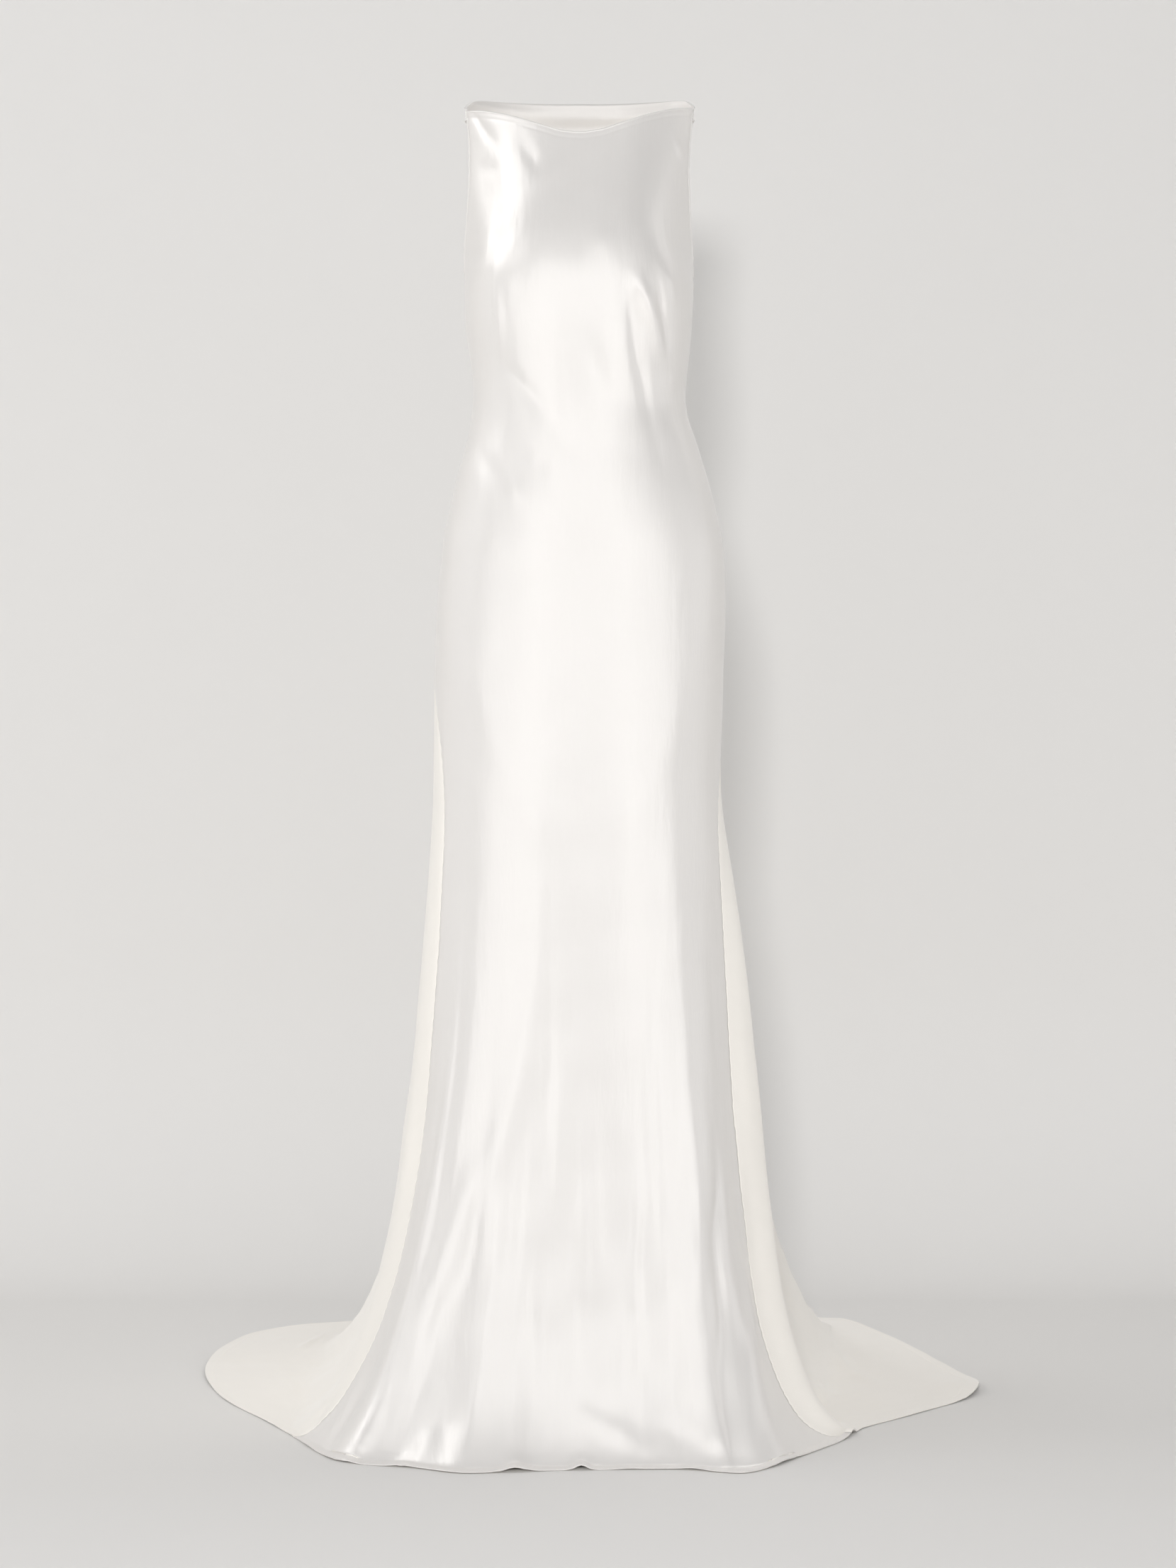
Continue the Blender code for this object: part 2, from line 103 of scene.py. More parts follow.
class Curve:
    """A smooth function through given values, softened so that it reflects evenly."""

    SAMPLES = 2400

    def __init__(self, keys: np.ndarray, values: np.ndarray, soft: float) -> None:
        """Samples the function and softens the samples.

        Args:
            keys: where the values lie, in rising order.
            values: the values given.
            soft: the reach of the softening, in the unit of the keys.
        """
        span = keys[-1] - keys[0]
        self.x = np.linspace(keys[0], keys[-1], self.SAMPLES)
        raw = self._through(keys, values, self.x)
        step = span / (self.SAMPLES - 1)
        half = max(1, int(3 * soft / step))
        weight = np.exp(-0.5 * (np.arange(-half, half + 1) * step / soft) ** 2)
        before = 2 * raw[0] - raw[1 : half + 1][::-1]
        after = 2 * raw[-1] - raw[-half - 1 : -1][::-1]
        padded = np.concatenate([before, raw, after])
        self.y = np.convolve(padded, weight / weight.sum(), mode="valid")

    @staticmethod
    def _through(xs: np.ndarray, ys: np.ndarray, x: np.ndarray) -> np.ndarray:
        """A curve through points, with no overshoot.

        Args:
            xs: where they lie, in rising order.
            ys: their values.
            x: where the curve is read.

        Returns:
            The curve at x.
        """
        gap = np.diff(xs)
        slope = np.diff(ys) / gap
        tangent = np.zeros(len(xs))
        tangent[0], tangent[-1] = slope[0], slope[-1]
        same_way = slope[:-1] * slope[1:] > 0
        late, early = 2 * gap[1:] + gap[:-1], gap[1:] + 2 * gap[:-1]
        before = np.where(same_way, slope[:-1], 1.0)
        after = np.where(same_way, slope[1:], 1.0)
        mean = (late + early) / (late / before + early / after)
        tangent[1:-1] = np.where(same_way, mean, 0.0)
        place = np.clip(np.searchsorted(xs, x) - 1, 0, len(gap) - 1)
        rise = gap[place]
        t = (x - xs[place]) / rise
        return (
            ys[place] * (2 * t**3 - 3 * t**2 + 1)
            + tangent[place] * rise * (t**3 - 2 * t**2 + t)
            + ys[place + 1] * (3 * t**2 - 2 * t**3)
            + tangent[place + 1] * rise * (t**3 - t**2)
        )

    def __call__(self, x: np.ndarray) -> np.ndarray:
        """The value at x, held at the ends."""
        return np.interp(x, self.x, self.y)


def curves(names: tuple[str, ...], rows: tuple, key: str, soft: float) -> dict[str, Curve]:
    """One softened curve for each column of a table.

    Args:
        names: the table's columns.
        rows: its rows.
        key: the column that the others are read by.
        soft: the reach of the softening, in the unit of that column.

    Returns:
        The curves by the names of their columns.
    """
    table = {name: np.array(column, float) for name, column in zip(names, zip(*rows))}
    order = np.argsort(table[key])
    keys = table[key][order]
    return {name: Curve(keys, table[name][order], soft) for name in names if name != key}


def edge_curve(rows: tuple, soft: float, mirrored: bool = False) -> Curve:
    """The height of an edge by station.

    Args:
        rows: station and height of its points.
        soft: the reach of the softening, in stations.
        mirrored: whether it is turned over to the other side of the gown.

    Returns:
        The curve.
    """
    keys, heights = (np.array(column, float) for column in zip(*rows))
    if mirrored:
        keys, heights = -keys[::-1], heights[::-1]
    return Curve(keys, heights, soft)


def bell(value: np.ndarray, middle: float | np.ndarray, wide: float | np.ndarray) -> np.ndarray:
    """A rounded bump of height 1."""
    return np.exp(-(((value - middle) / wide) ** 2))


def eased(value: np.ndarray) -> np.ndarray:
    """A soft step from 0 to 1 as the value goes from 0 to 1."""
    t = np.clip(value, 0.0, 1.0)
    return t * t * (3 - 2 * t)


def ramp(value: np.ndarray, start: float, length: float) -> np.ndarray:
    """A soft step from 0 to 1 that begins at start and takes the length given."""
    return eased((value - start) / length)


def unit(vectors: np.ndarray) -> np.ndarray:
    """The vectors at length 1."""
    size = np.linalg.norm(vectors, axis=-1, keepdims=True)
    return vectors / np.maximum(size, 1e-12)


def grid_normals(points: np.ndarray) -> np.ndarray:
    """Outward normals of a grid of points."""
    return unit(np.cross(np.gradient(points, axis=0), np.gradient(points, axis=1)))


@dataclass(frozen=True)
class TorsoForm:
    """The gown from the shoulders to the thighs, as rounded horizontal sections."""

    # Sections: height, reach to the left, right, front and back, how far back the sides
    # lie, squareness, and how far the front hangs straight, from 0 to 1.
    section_columns: tuple[str, ...] = (
        "z", "left", "right", "front", "back", "side", "square", "hung",
    )
    sections: tuple = (
        (0.020, 0.1296, 0.1290, 0.0700, 0.072, 0.000, 2.00, 1.00),
        (0.000, 0.1300, 0.1293, 0.0730, 0.074, 0.000, 2.00, 1.00),
        (-0.033, 0.1270, 0.1261, 0.0790, 0.078, -0.002, 2.00, 1.00),
        (-0.066, 0.1261, 0.1245, 0.0880, 0.083, -0.004, 2.02, 1.00),
        (-0.098, 0.1278, 0.1253, 0.0985, 0.088, -0.004, 2.05, 1.00),
        (-0.130, 0.1302, 0.1270, 0.1095, 0.093, -0.002, 2.10, 0.85),
        (-0.163, 0.1326, 0.1294, 0.1190, 0.097, 0.001, 2.15, 0.50),
        (-0.195, 0.1318, 0.1302, 0.1230, 0.098, 0.004, 2.18, 0.12),
        (-0.244, 0.1302, 0.1278, 0.1210, 0.094, 0.004, 2.18, 0.00),
        (-0.276, 0.1261, 0.1253, 0.1180, 0.087, 0.003, 2.15, 0.00),
        (-0.310, 0.1215, 0.1214, 0.1140, 0.080, 0.001, 2.12, 0.00),
        (-0.325, 0.1215, 0.1203, 0.1125, 0.077, 0.000, 2.12, 0.00),
        (-0.341, 0.1229, 0.1215, 0.1110, 0.077, 0.000, 2.12, 0.00),
        (-0.373, 0.1280, 0.1322, 0.1090, 0.083, 0.000, 2.14, 0.00),
        (-0.405, 0.1380, 0.1423, 0.1080, 0.091, 0.002, 2.16, 0.00),
        (-0.438, 0.1456, 0.1520, 0.1080, 0.101, 0.004, 2.18, 0.00),
        (-0.502, 0.1569, 0.1646, 0.1090, 0.116, 0.006, 2.20, 0.00),
        (-0.567, 0.1633, 0.1666, 0.1110, 0.123, 0.008, 2.20, 0.00),
        (-0.632, 0.1658, 0.1642, 0.1130, 0.121, 0.009, 2.20, 0.00),
        (-0.697, 0.1666, 0.1625, 0.1150, 0.117, 0.010, 2.20, 0.00),
        (-0.761, 0.1672, 0.1606, 0.1170, 0.115, 0.010, 2.20, 0.00),
        (-0.830, 0.1680, 0.1640, 0.1190, 0.118, 0.010, 2.20, 0.00),
    )
    # Side seams: height, and degrees from the front centre on either side.
    edge_columns: tuple[str, ...] = ("z", "left", "right")
    edges: tuple = (
        (0.020, 90, 90),
        (-0.020, 90, 90),
        (-0.100, 88, 88),
        (-0.160, 90, 90),
        (-0.200, 95, 95),
        (-0.270, 101, 101),
        (-0.400, 101, 101),
        (-0.560, 96, 99),
        (-0.640, 88, 95),
        (-0.700, 71, 91),
        (-0.760, 64, 82),
        (-0.800, 62, 70),
        (-0.830, 61, 64),
    )
    # Rounded forms: station, height, half width in stations, half height and rise.
    forms: tuple = (
        (-0.46, -0.190, 0.27, 0.062, 0.0045),
        (0.46, -0.188, 0.27, 0.062, 0.0042),
        (0.00, -0.190, 0.16, 0.060, -0.0015),
        (0.00, -0.450, 0.40, 0.070, 0.0030),
        (-1.58, -0.575, 0.22, 0.075, 0.0090),
        (1.58, -0.575, 0.22, 0.075, 0.0090),
    )
    hung_power: float = 2.7
    softness: float = 0.009
    edge_softness: float = 0.0144

    def prepared(self) -> tuple[dict[str, Curve], dict[str, Curve]]:
        """The curves of the sections and of the panel edges."""
        return (
            curves(self.section_columns, self.sections, "z", self.softness),
            curves(self.edge_columns, self.edges, "z", self.edge_softness),
        )

    def height(self, station: np.ndarray, z: np.ndarray) -> np.ndarray:
        """How far the rounded forms stand out of the torso.

        Args:
            station: stations of the points.
            z: their heights.

        Returns:
            One height for each point, in metres.
        """
        total = np.zeros_like(z)
        for middle, level, wide, deep, tall in self.forms:
            total += tall * bell(station, middle, wide) * bell(z, level, deep)
        return total


@dataclass(frozen=True)
class SkirtForm:
    """The gown from the thighs to the hem, as one meridian for each station."""

    # Meridians: the skirt's lean and drop from the thighs, the point that bends it over
    # the floor, where it touches the floor, and its hem.
    columns: tuple[str, ...] = (
        "station", "lean_x", "lean_y", "drop", "low_x", "low_y", "rise",
        "touch_x", "touch_y", "hem_x", "hem_y",
    )
    rows: tuple = (
        (-2.00, 0.000, 0.020, 0.34, 0.000, 0.270, 0.00, 0.000, 0.560, 0.000, 0.820),
        (-1.80, -0.010, 0.025, 0.33, -0.120, 0.330, 0.02, -0.160, 0.600, -0.150, 0.785),
        (-1.62, -0.018, 0.028, 0.32, -0.200, 0.390, 0.04, -0.290, 0.635, -0.320, 0.700),
        (-1.54, -0.024, 0.026, 0.31, -0.240, 0.400, 0.075, -0.336, 0.630, -0.386, 0.668),
        (-1.47, -0.022, 0.022, 0.30, -0.225, 0.280, 0.05, -0.335, 0.460, -0.450, 0.595),
        (-1.38, -0.020, 0.018, 0.29, -0.215, 0.170, 0.04, -0.330, 0.290, -0.472, 0.378),
        (-1.25, -0.022, 0.010, 0.28, -0.212, 0.070, 0.05, -0.328, 0.120, -0.435, 0.189),
        (-1.12, -0.023, 0.002, 0.28, -0.206, 0.000, 0.07, -0.328, 0.010, -0.365, 0.040),
        (-1.00, -0.014, -0.004, 0.28, -0.180, -0.050, 0.09, -0.312, -0.052, -0.321, -0.056),
        (-0.90, -0.005, -0.006, 0.28, -0.186, -0.088, 0.08, -0.284, -0.119, -0.292, -0.129),
        (-0.80, 0.000, -0.006, 0.28, -0.184, -0.118, 0.08, -0.254, -0.169, -0.263, -0.182),
        (-0.50, 0.000, -0.006, 0.29, -0.130, -0.146, 0.10, -0.168, -0.205, -0.173, -0.219),
        (-0.35, 0.000, -0.006, 0.30, -0.092, -0.152, 0.10, -0.120, -0.228, -0.124, -0.243),
        (0.00, 0.000, -0.006, 0.30, 0.000, -0.152, 0.10, 0.000, -0.212, 0.000, -0.226),
        (0.35, 0.000, -0.006, 0.30, 0.084, -0.150, 0.10, 0.100, -0.209, 0.103, -0.223),
        (0.60, 0.000, -0.006, 0.29, 0.134, -0.146, 0.10, 0.167, -0.228, 0.172, -0.243),
        (0.74, 0.002, -0.006, 0.28, 0.158, -0.125, 0.09, 0.201, -0.201, 0.206, -0.215),
        (0.87, 0.005, -0.006, 0.28, 0.172, -0.090, 0.06, 0.235, -0.150, 0.240, -0.162),
        (1.00, 0.020, -0.004, 0.28, 0.165, -0.050, 0.01, 0.292, -0.052, 0.306, -0.053),
        (1.10, 0.062, 0.006, 0.28, 0.203, 0.000, 0.06, 0.306, -0.018, 0.320, -0.012),
        (1.22, 0.030, 0.014, 0.29, 0.190, 0.075, 0.03, 0.288, 0.090, 0.404, 0.090),
        (1.35, 0.025, 0.020, 0.29, 0.208, 0.160, 0.03, 0.302, 0.230, 0.487, 0.233),
        (1.44, 0.030, 0.024, 0.29, 0.226, 0.260, 0.05, 0.322, 0.420, 0.444, 0.455),
        (1.52, 0.036, 0.028, 0.29, 0.246, 0.360, 0.065, 0.330, 0.645, 0.362, 0.710),
        (1.62, 0.030, 0.026, 0.31, 0.220, 0.370, 0.05, 0.285, 0.650, 0.304, 0.745),
        (1.80, 0.012, 0.022, 0.33, 0.130, 0.330, 0.02, 0.150, 0.605, 0.150, 0.800),
        (2.00, 0.000, 0.020, 0.34, 0.000, 0.270, 0.00, 0.000, 0.560, 0.000, 0.820),
    )
    # Broad folds: station of the crest, half width in stations, height at the hem
    # (negative for a trough) and the share of the skirt where it begins.
    folds: tuple = (
        (-1.72, 0.075, 0.012, 0.30),
        (-1.56, 0.055, -0.010, 0.35),
        (-1.33, 0.055, 0.007, 0.55),
        (-0.80, 0.070, 0.010, 0.35),
        (-0.62, 0.075, -0.010, 0.35),
        (-0.13, 0.065, -0.006, 0.25),
        (0.62, 0.060, -0.009, 0.35),
        (0.80, 0.060, 0.010, 0.35),
        (1.22, 0.050, -0.012, 0.40),
        (1.50, 0.060, 0.009, 0.35),
        (1.68, 0.055, -0.010, 0.35),
        (1.82, 0.060, 0.009, 0.30),
    )
    floor_bend: float = 0.35
    floor_fold_from: float = 0.96
    floor_fold_fall: float = 0.5
    floor_fold_share: float = 0.35
    softness: float = 0.016

    def prepared(self) -> dict[str, Curve]:
        """The curves of the meridians."""
        return curves(self.columns, self.rows, "station", self.softness)

    def height(self, station: np.ndarray, share: np.ndarray) -> np.ndarray:
        """How far the broad folds stand out. They die away along the floor.

        Args:
            station: stations of the points.
            share: 0 at the skirt's top, 1 at the floor and 2 at the hem.

        Returns:
            One height for each point, in metres.
        """
        total = np.zeros_like(station)
        for crest, width, tall, begins in self.folds:
            grown = eased((share - begins) / (1 - begins))
            total += tall * grown * bell(station, crest, width)
        settled = np.clip((share - self.floor_fold_from) / (2 - self.floor_fold_from), 0, 1)
        return total * (1 - (1 - self.floor_fold_share) * settled**self.floor_fold_fall)


@dataclass(frozen=True)
class Crease:
    """One crease, trough or soft ridge of the cloth.

    Args:
        points: (x, z, half width, height) or (station, place, half width, height), the
            last two in millimetres. A trough's height is negative.
        skew: how much steeper the flank on the right of its run is, from -1 to 1.
        space: how the points are given.
    """

    points: tuple[tuple[float, float, float, float], ...]
    skew: float = 0.0
    space: Space = Space.SEEN


def creases(space: Space, rows: tuple) -> tuple[Crease, ...]:
    """The creases of a table.

    Args:
        space: how their points are given.
        rows: the skew of each one and then its points.

    Returns:
        One crease for each row.
    """
    return tuple(Crease(tuple(points), skew, space) for skew, *points in rows)


TORSO_CREASES = creases(Space.SEEN, (
    (0, (-0.120, -0.003, 4, -2.6), (-0.107, -0.022, 6, -2.6), (-0.093, -0.037, 7, -0.4)),
    (0, (-0.069, -0.028, 7, -0.6), (-0.057, -0.047, 8, -2), (-0.047, -0.065, 8, -0.4)),
    (0, (-0.110, -0.062, 8, -1), (-0.099, -0.064, 8, -1)),
    (0, (-0.126, -0.060, 16, 0.4), (-0.120, -0.082, 18, 1.6), (-0.114, -0.114, 20, 2.2),
     (-0.106, -0.147, 20, 2.2), (-0.084, -0.187, 18, 0.8)),
    (0, (-0.093, -0.100, 9, -0.2), (-0.090, -0.132, 9, -0.5), (-0.086, -0.160, 9, -0.2)),
    (0, (0.015, -0.129, 14, 0.6), (0.026, -0.145, 16, 1.6), (0.036, -0.164, 16, 0.6)),
    (0, (-0.100, -0.111, 12, 0.4), (-0.039, -0.070, 14, 1.2), (0.023, -0.036, 12, 0.3)),
    (0.3, (-0.097, -0.180, 5, 0.6), (-0.094, -0.227, 6, 2), (-0.091, -0.283, 6, 0.8)),
    (0, (0.066, -0.182, 8, 0.8), (0.074, -0.207, 8, 4.4), (0.082, -0.231, 8, 4.8),
     (0.089, -0.260, 8, 3.2), (0.095, -0.289, 8, 0.7)),
    (0, (0.056, -0.199, 8, -0.5), (0.060, -0.227, 9, -2.8), (0.064, -0.265, 9, -3.0),
     (0.072, -0.304, 9, -2.6), (0.078, -0.338, 9, -2.0), (0.097, -0.413, 10, -0.4)),
    (0, (0.087, -0.176, 6, -0.6), (0.094, -0.219, 6, -3.4), (0.101, -0.265, 6, -0.6)),
    (0, (0.103, -0.189, 8, 1.6), (0.105, -0.205, 8, 1)),
    (0, (0.105, -0.302, 3, 1), (0.120, -0.276, 3, 1.2)),
    (0, (0.112, -0.351, 3, 0.8), (0.119, -0.333, 3, 1)),
    (0, (-0.091, -0.280, 8, -0.6), (-0.071, -0.304, 9, -2), (-0.054, -0.324, 10, -2),
     (-0.032, -0.354, 10, -1.4), (-0.012, -0.386, 10, -0.4)),
    (0, (-0.053, -0.379, 7, -0.4), (-0.044, -0.401, 8, -1.2), (-0.034, -0.425, 8, -0.3)),
    (0, (0.006, -0.245, 8, -0.3), (0.019, -0.284, 9, -1.6), (0.032, -0.327, 9, -0.4)),
    (0, (-0.023, -0.295, 10, -0.3), (-0.014, -0.342, 11, -1), (-0.006, -0.388, 11, -0.3)),
    (0, (-0.118, -0.354, 9, -0.4), (-0.099, -0.409, 11, -1.6), (-0.076, -0.478, 12, -0.3)),
    (0, (-0.087, -0.399, 9, 0.4), (-0.073, -0.426, 9, 1.4), (-0.060, -0.449, 9, 0.4)),
    (0, (-0.146, -0.472, 16, 1.6), (-0.143, -0.493, 16, 1.4)),
    (0, (0.105, -0.017, 5, 0.8), (0.113, -0.040, 6, 2.4), (0.121, -0.064, 6, 0.5)),
))

SKIRT_CREASES = creases(Space.SEEN, (
    (0.2, (-0.039, -0.882, 20, 0.6), (-0.057, -1.044, 18, 2.2), (-0.086, -1.149, 18, 3.4),
     (-0.126, -1.238, 20, 5.5), (-0.157, -1.321, 22, 7), (-0.176, -1.384, 24, 7.5),
     (-0.194, -1.473, 26, 6.5), (-0.209, -1.529, 28, 4.5)),
    (0, (-0.086, -1.133, 14, -0.6), (-0.111, -1.201, 15, -2.4), (-0.123, -1.249, 16, -3.8),
     (-0.137, -1.326, 18, -4.8), (-0.158, -1.398, 20, -5), (-0.164, -1.488, 22, -3.5)),
    (0, (-0.015, -1.068, 16, 0.6), (-0.023, -1.133, 16, 1.8), (-0.032, -1.219, 18, 2.6),
     (-0.039, -1.279, 18, 3), (-0.035, -1.363, 18, 2.6), (-0.031, -1.408, 18, 1)),
    (0, (0.014, -1.133, 15, 0.6), (0.011, -1.198, 15, 1.8), (0.008, -1.279, 16, 2.4),
     (0.008, -1.339, 16, 1)),
    (0.3, (0.066, -1.165, 12, 0.6), (0.065, -1.230, 12, 2), (0.066, -1.279, 12, 2.8),
     (0.065, -1.351, 12, 1.2)),
    (0, (0.070, -1.266, 5, -0.5), (0.071, -1.319, 5, -2.2), (0.070, -1.372, 5, -0.5)),
    (0.2, (0.119, -1.068, 16, 0.8), (0.129, -1.165, 18, 3.2), (0.133, -1.219, 18, 4.4),
     (0.127, -1.279, 20, 5.2), (0.127, -1.368, 22, 6.2), (0.135, -1.446, 22, 6),
     (0.155, -1.506, 24, 4)),
    (0, (0.155, -1.133, 10, -0.6), (0.159, -1.219, 9, -3.6), (0.155, -1.279, 9, -4.8),
     (0.163, -1.368, 10, -5.4), (0.165, -1.446, 11, -5), (0.176, -1.506, 12, -3.6),
     (0.186, -1.542, 12, -2)),
    (0.2, (0.180, -1.165, 16, 1), (0.186, -1.279, 18, 4), (0.192, -1.368, 20, 6),
     (0.196, -1.440, 22, 6), (0.197, -1.521, 24, 3.6)),
    (0, (0.103, -0.761, 20, 0.4), (0.111, -0.882, 20, 1.6), (0.113, -1.004, 18, 0.8)),
    (0, (-0.251, -1.444, 10, 1), (-0.273, -1.489, 12, 3.2), (-0.294, -1.521, 12, 2)),
    (0, (-0.231, -1.477, 8, 0.8), (-0.245, -1.507, 9, 2.6), (-0.257, -1.533, 9, 1.6)),
    (0, (-0.281, -1.461, 8, -0.6), (-0.296, -1.485, 9, -2.2), (-0.309, -1.505, 9, -1.2)),
    (0, (0.008, -1.485, 12, 0.8), (0.039, -1.502, 14, 2), (0.070, -1.521, 12, 1)),
    (0, (0.103, -1.501, 12, -0.8), (0.131, -1.521, 14, -2), (0.157, -1.539, 12, -1.2)),
    (0, (-0.149, -0.580, 22, 0.5), (-0.104, -0.687, 24, 1.4), (-0.051, -0.805, 26, 1.6),
     (0.002, -0.899, 26, 0.5)),
    (0, (0.145, -0.521, 18, 0.5), (0.120, -0.662, 20, 1.4), (0.061, -0.805, 22, 1.4),
     (0.050, -0.899, 22, 0.5)),
))

# Hidden side: the back panels' soft folds.
BACK_CREASES = creases(Space.CLOTH, (
    (0, (1.94, 0.50, 12, 0.3), (1.86, 0.60, 16, -1.8), (1.80, 0.70, 16, -0.4)),
    (0, (-1.94, 0.52, 12, 0.3), (-1.87, 0.63, 15, -1.6), (-1.82, 0.72, 16, -0.4)),
    (0, (1.20, 0.36, 8, -0.4), (1.34, 0.39, 9, -1.6), (1.50, 0.43, 10, -0.3)),
    (0, (-1.22, 0.37, 8, -0.4), (-1.36, 0.40, 9, -1.8), (-1.54, 0.45, 10, -0.3)),
    (0, (1.24, 0.42, 8, 0.4), (1.38, 0.45, 9, 1.3), (1.52, 0.50, 10, 0.3)),
    (0, (-1.26, 0.44, 8, 0.4), (-1.40, 0.47, 9, 1.4), (-1.56, 0.52, 10, 0.3)),
    (0.2, (1.90, 0.90, 22, 0.5), (1.89, 1.15, 24, 4.0), (1.88, 1.40, 28, 7.5), (1.87, 1.60, 30, 4.5),
     (1.87, 1.71, 30, 3.0)),
    (0, (1.74, 0.95, 20, -0.5), (1.74, 1.20, 22, -4.0), (1.745, 1.42, 24, -7.0),
     (1.75, 1.62, 26, -3.0)),
    (0, (1.57, 1.00, 20, 0.5), (1.58, 1.25, 22, 4.0), (1.585, 1.45, 26, 6.0), (1.59, 1.60, 26, 2.5)),
    (-0.2, (-1.88, 0.92, 22, 0.5), (-1.87, 1.18, 24, 4.5), (-1.86, 1.42, 28, 8.0),
     (-1.86, 1.60, 30, 4.5), (-1.87, 1.71, 30, 3.0)),
    (0, (-1.77, 0.96, 18, -0.5), (-1.77, 1.22, 20, -4.0), (-1.78, 1.44, 22, -6.5),
     (-1.79, 1.62, 24, -3.0)),
    (0, (-1.63, 1.00, 20, 0.5), (-1.64, 1.24, 22, 4.0), (-1.64, 1.46, 24, 6.0), (-1.65, 1.60, 24, 2.5)),
    (0, (-1.42, 1.10, 18, 0.4), (-1.41, 1.30, 20, 3.0), (-1.40, 1.50, 22, 4.0), (-1.40, 1.60, 20, 1.5)),
    (0, (1.33, 1.05, 18, 0.4), (1.32, 1.28, 20, 3.4), (1.31, 1.48, 22, 4.4), (1.31, 1.60, 20, 1.5)),
    (0, (1.44, 1.15, 16, -0.4), (1.44, 1.36, 16, -3.4), (1.45, 1.54, 18, -1.5)),
    (0, (-1.24, 1.20, 14, -0.4), (-1.23, 1.40, 16, -3.0), (-1.22, 1.55, 16, -1.2)),
))

# Train: the pinches and turned folds of the cloth that lies on the floor.
TRAIN_CREASES = creases(Space.CLOTH, (
    (0.4, (-1.446, 1.640, 5, 0.5), (-1.466, 1.617, 6, 3.6), (-1.488, 1.602, 7, 5.0),
     (-1.525, 1.584, 7, 3.4), (-1.562, 1.566, 8, 0.6)),
    (0, (-1.470, 1.676, 4, 0.4), (-1.480, 1.667, 5, 3.2), (-1.492, 1.656, 5, 0.4)),
    (0.2, (-1.20, 1.54, 9, 0.5), (-1.27, 1.575, 10, 2.6), (-1.34, 1.61, 10, 3.2),
     (-1.39, 1.66, 9, 1.0)),
    (0.3, (1.405, 1.500, 12, 1.0), (1.330, 1.530, 12, 4.2), (1.244, 1.560, 11, 4.6),
     (1.185, 1.610, 10, 2.6), (1.150, 1.660, 9, 0.6)),
    (-0.2, (1.500, 1.540, 10, 0.8), (1.430, 1.575, 11, 3.4), (1.365, 1.620, 11, 3.0),
     (1.320, 1.670, 9, 0.8)),
    (0, (1.620, 1.560, 12, 0.8), (1.600, 1.610, 14, 4.4), (1.560, 1.665, 13, 3.2),
     (1.530, 1.705, 11, 1.0)),
    (0, (-1.700, 1.560, 12, 0.8), (-1.670, 1.615, 14, 4.0), (-1.630, 1.670, 13, 2.6)),
))


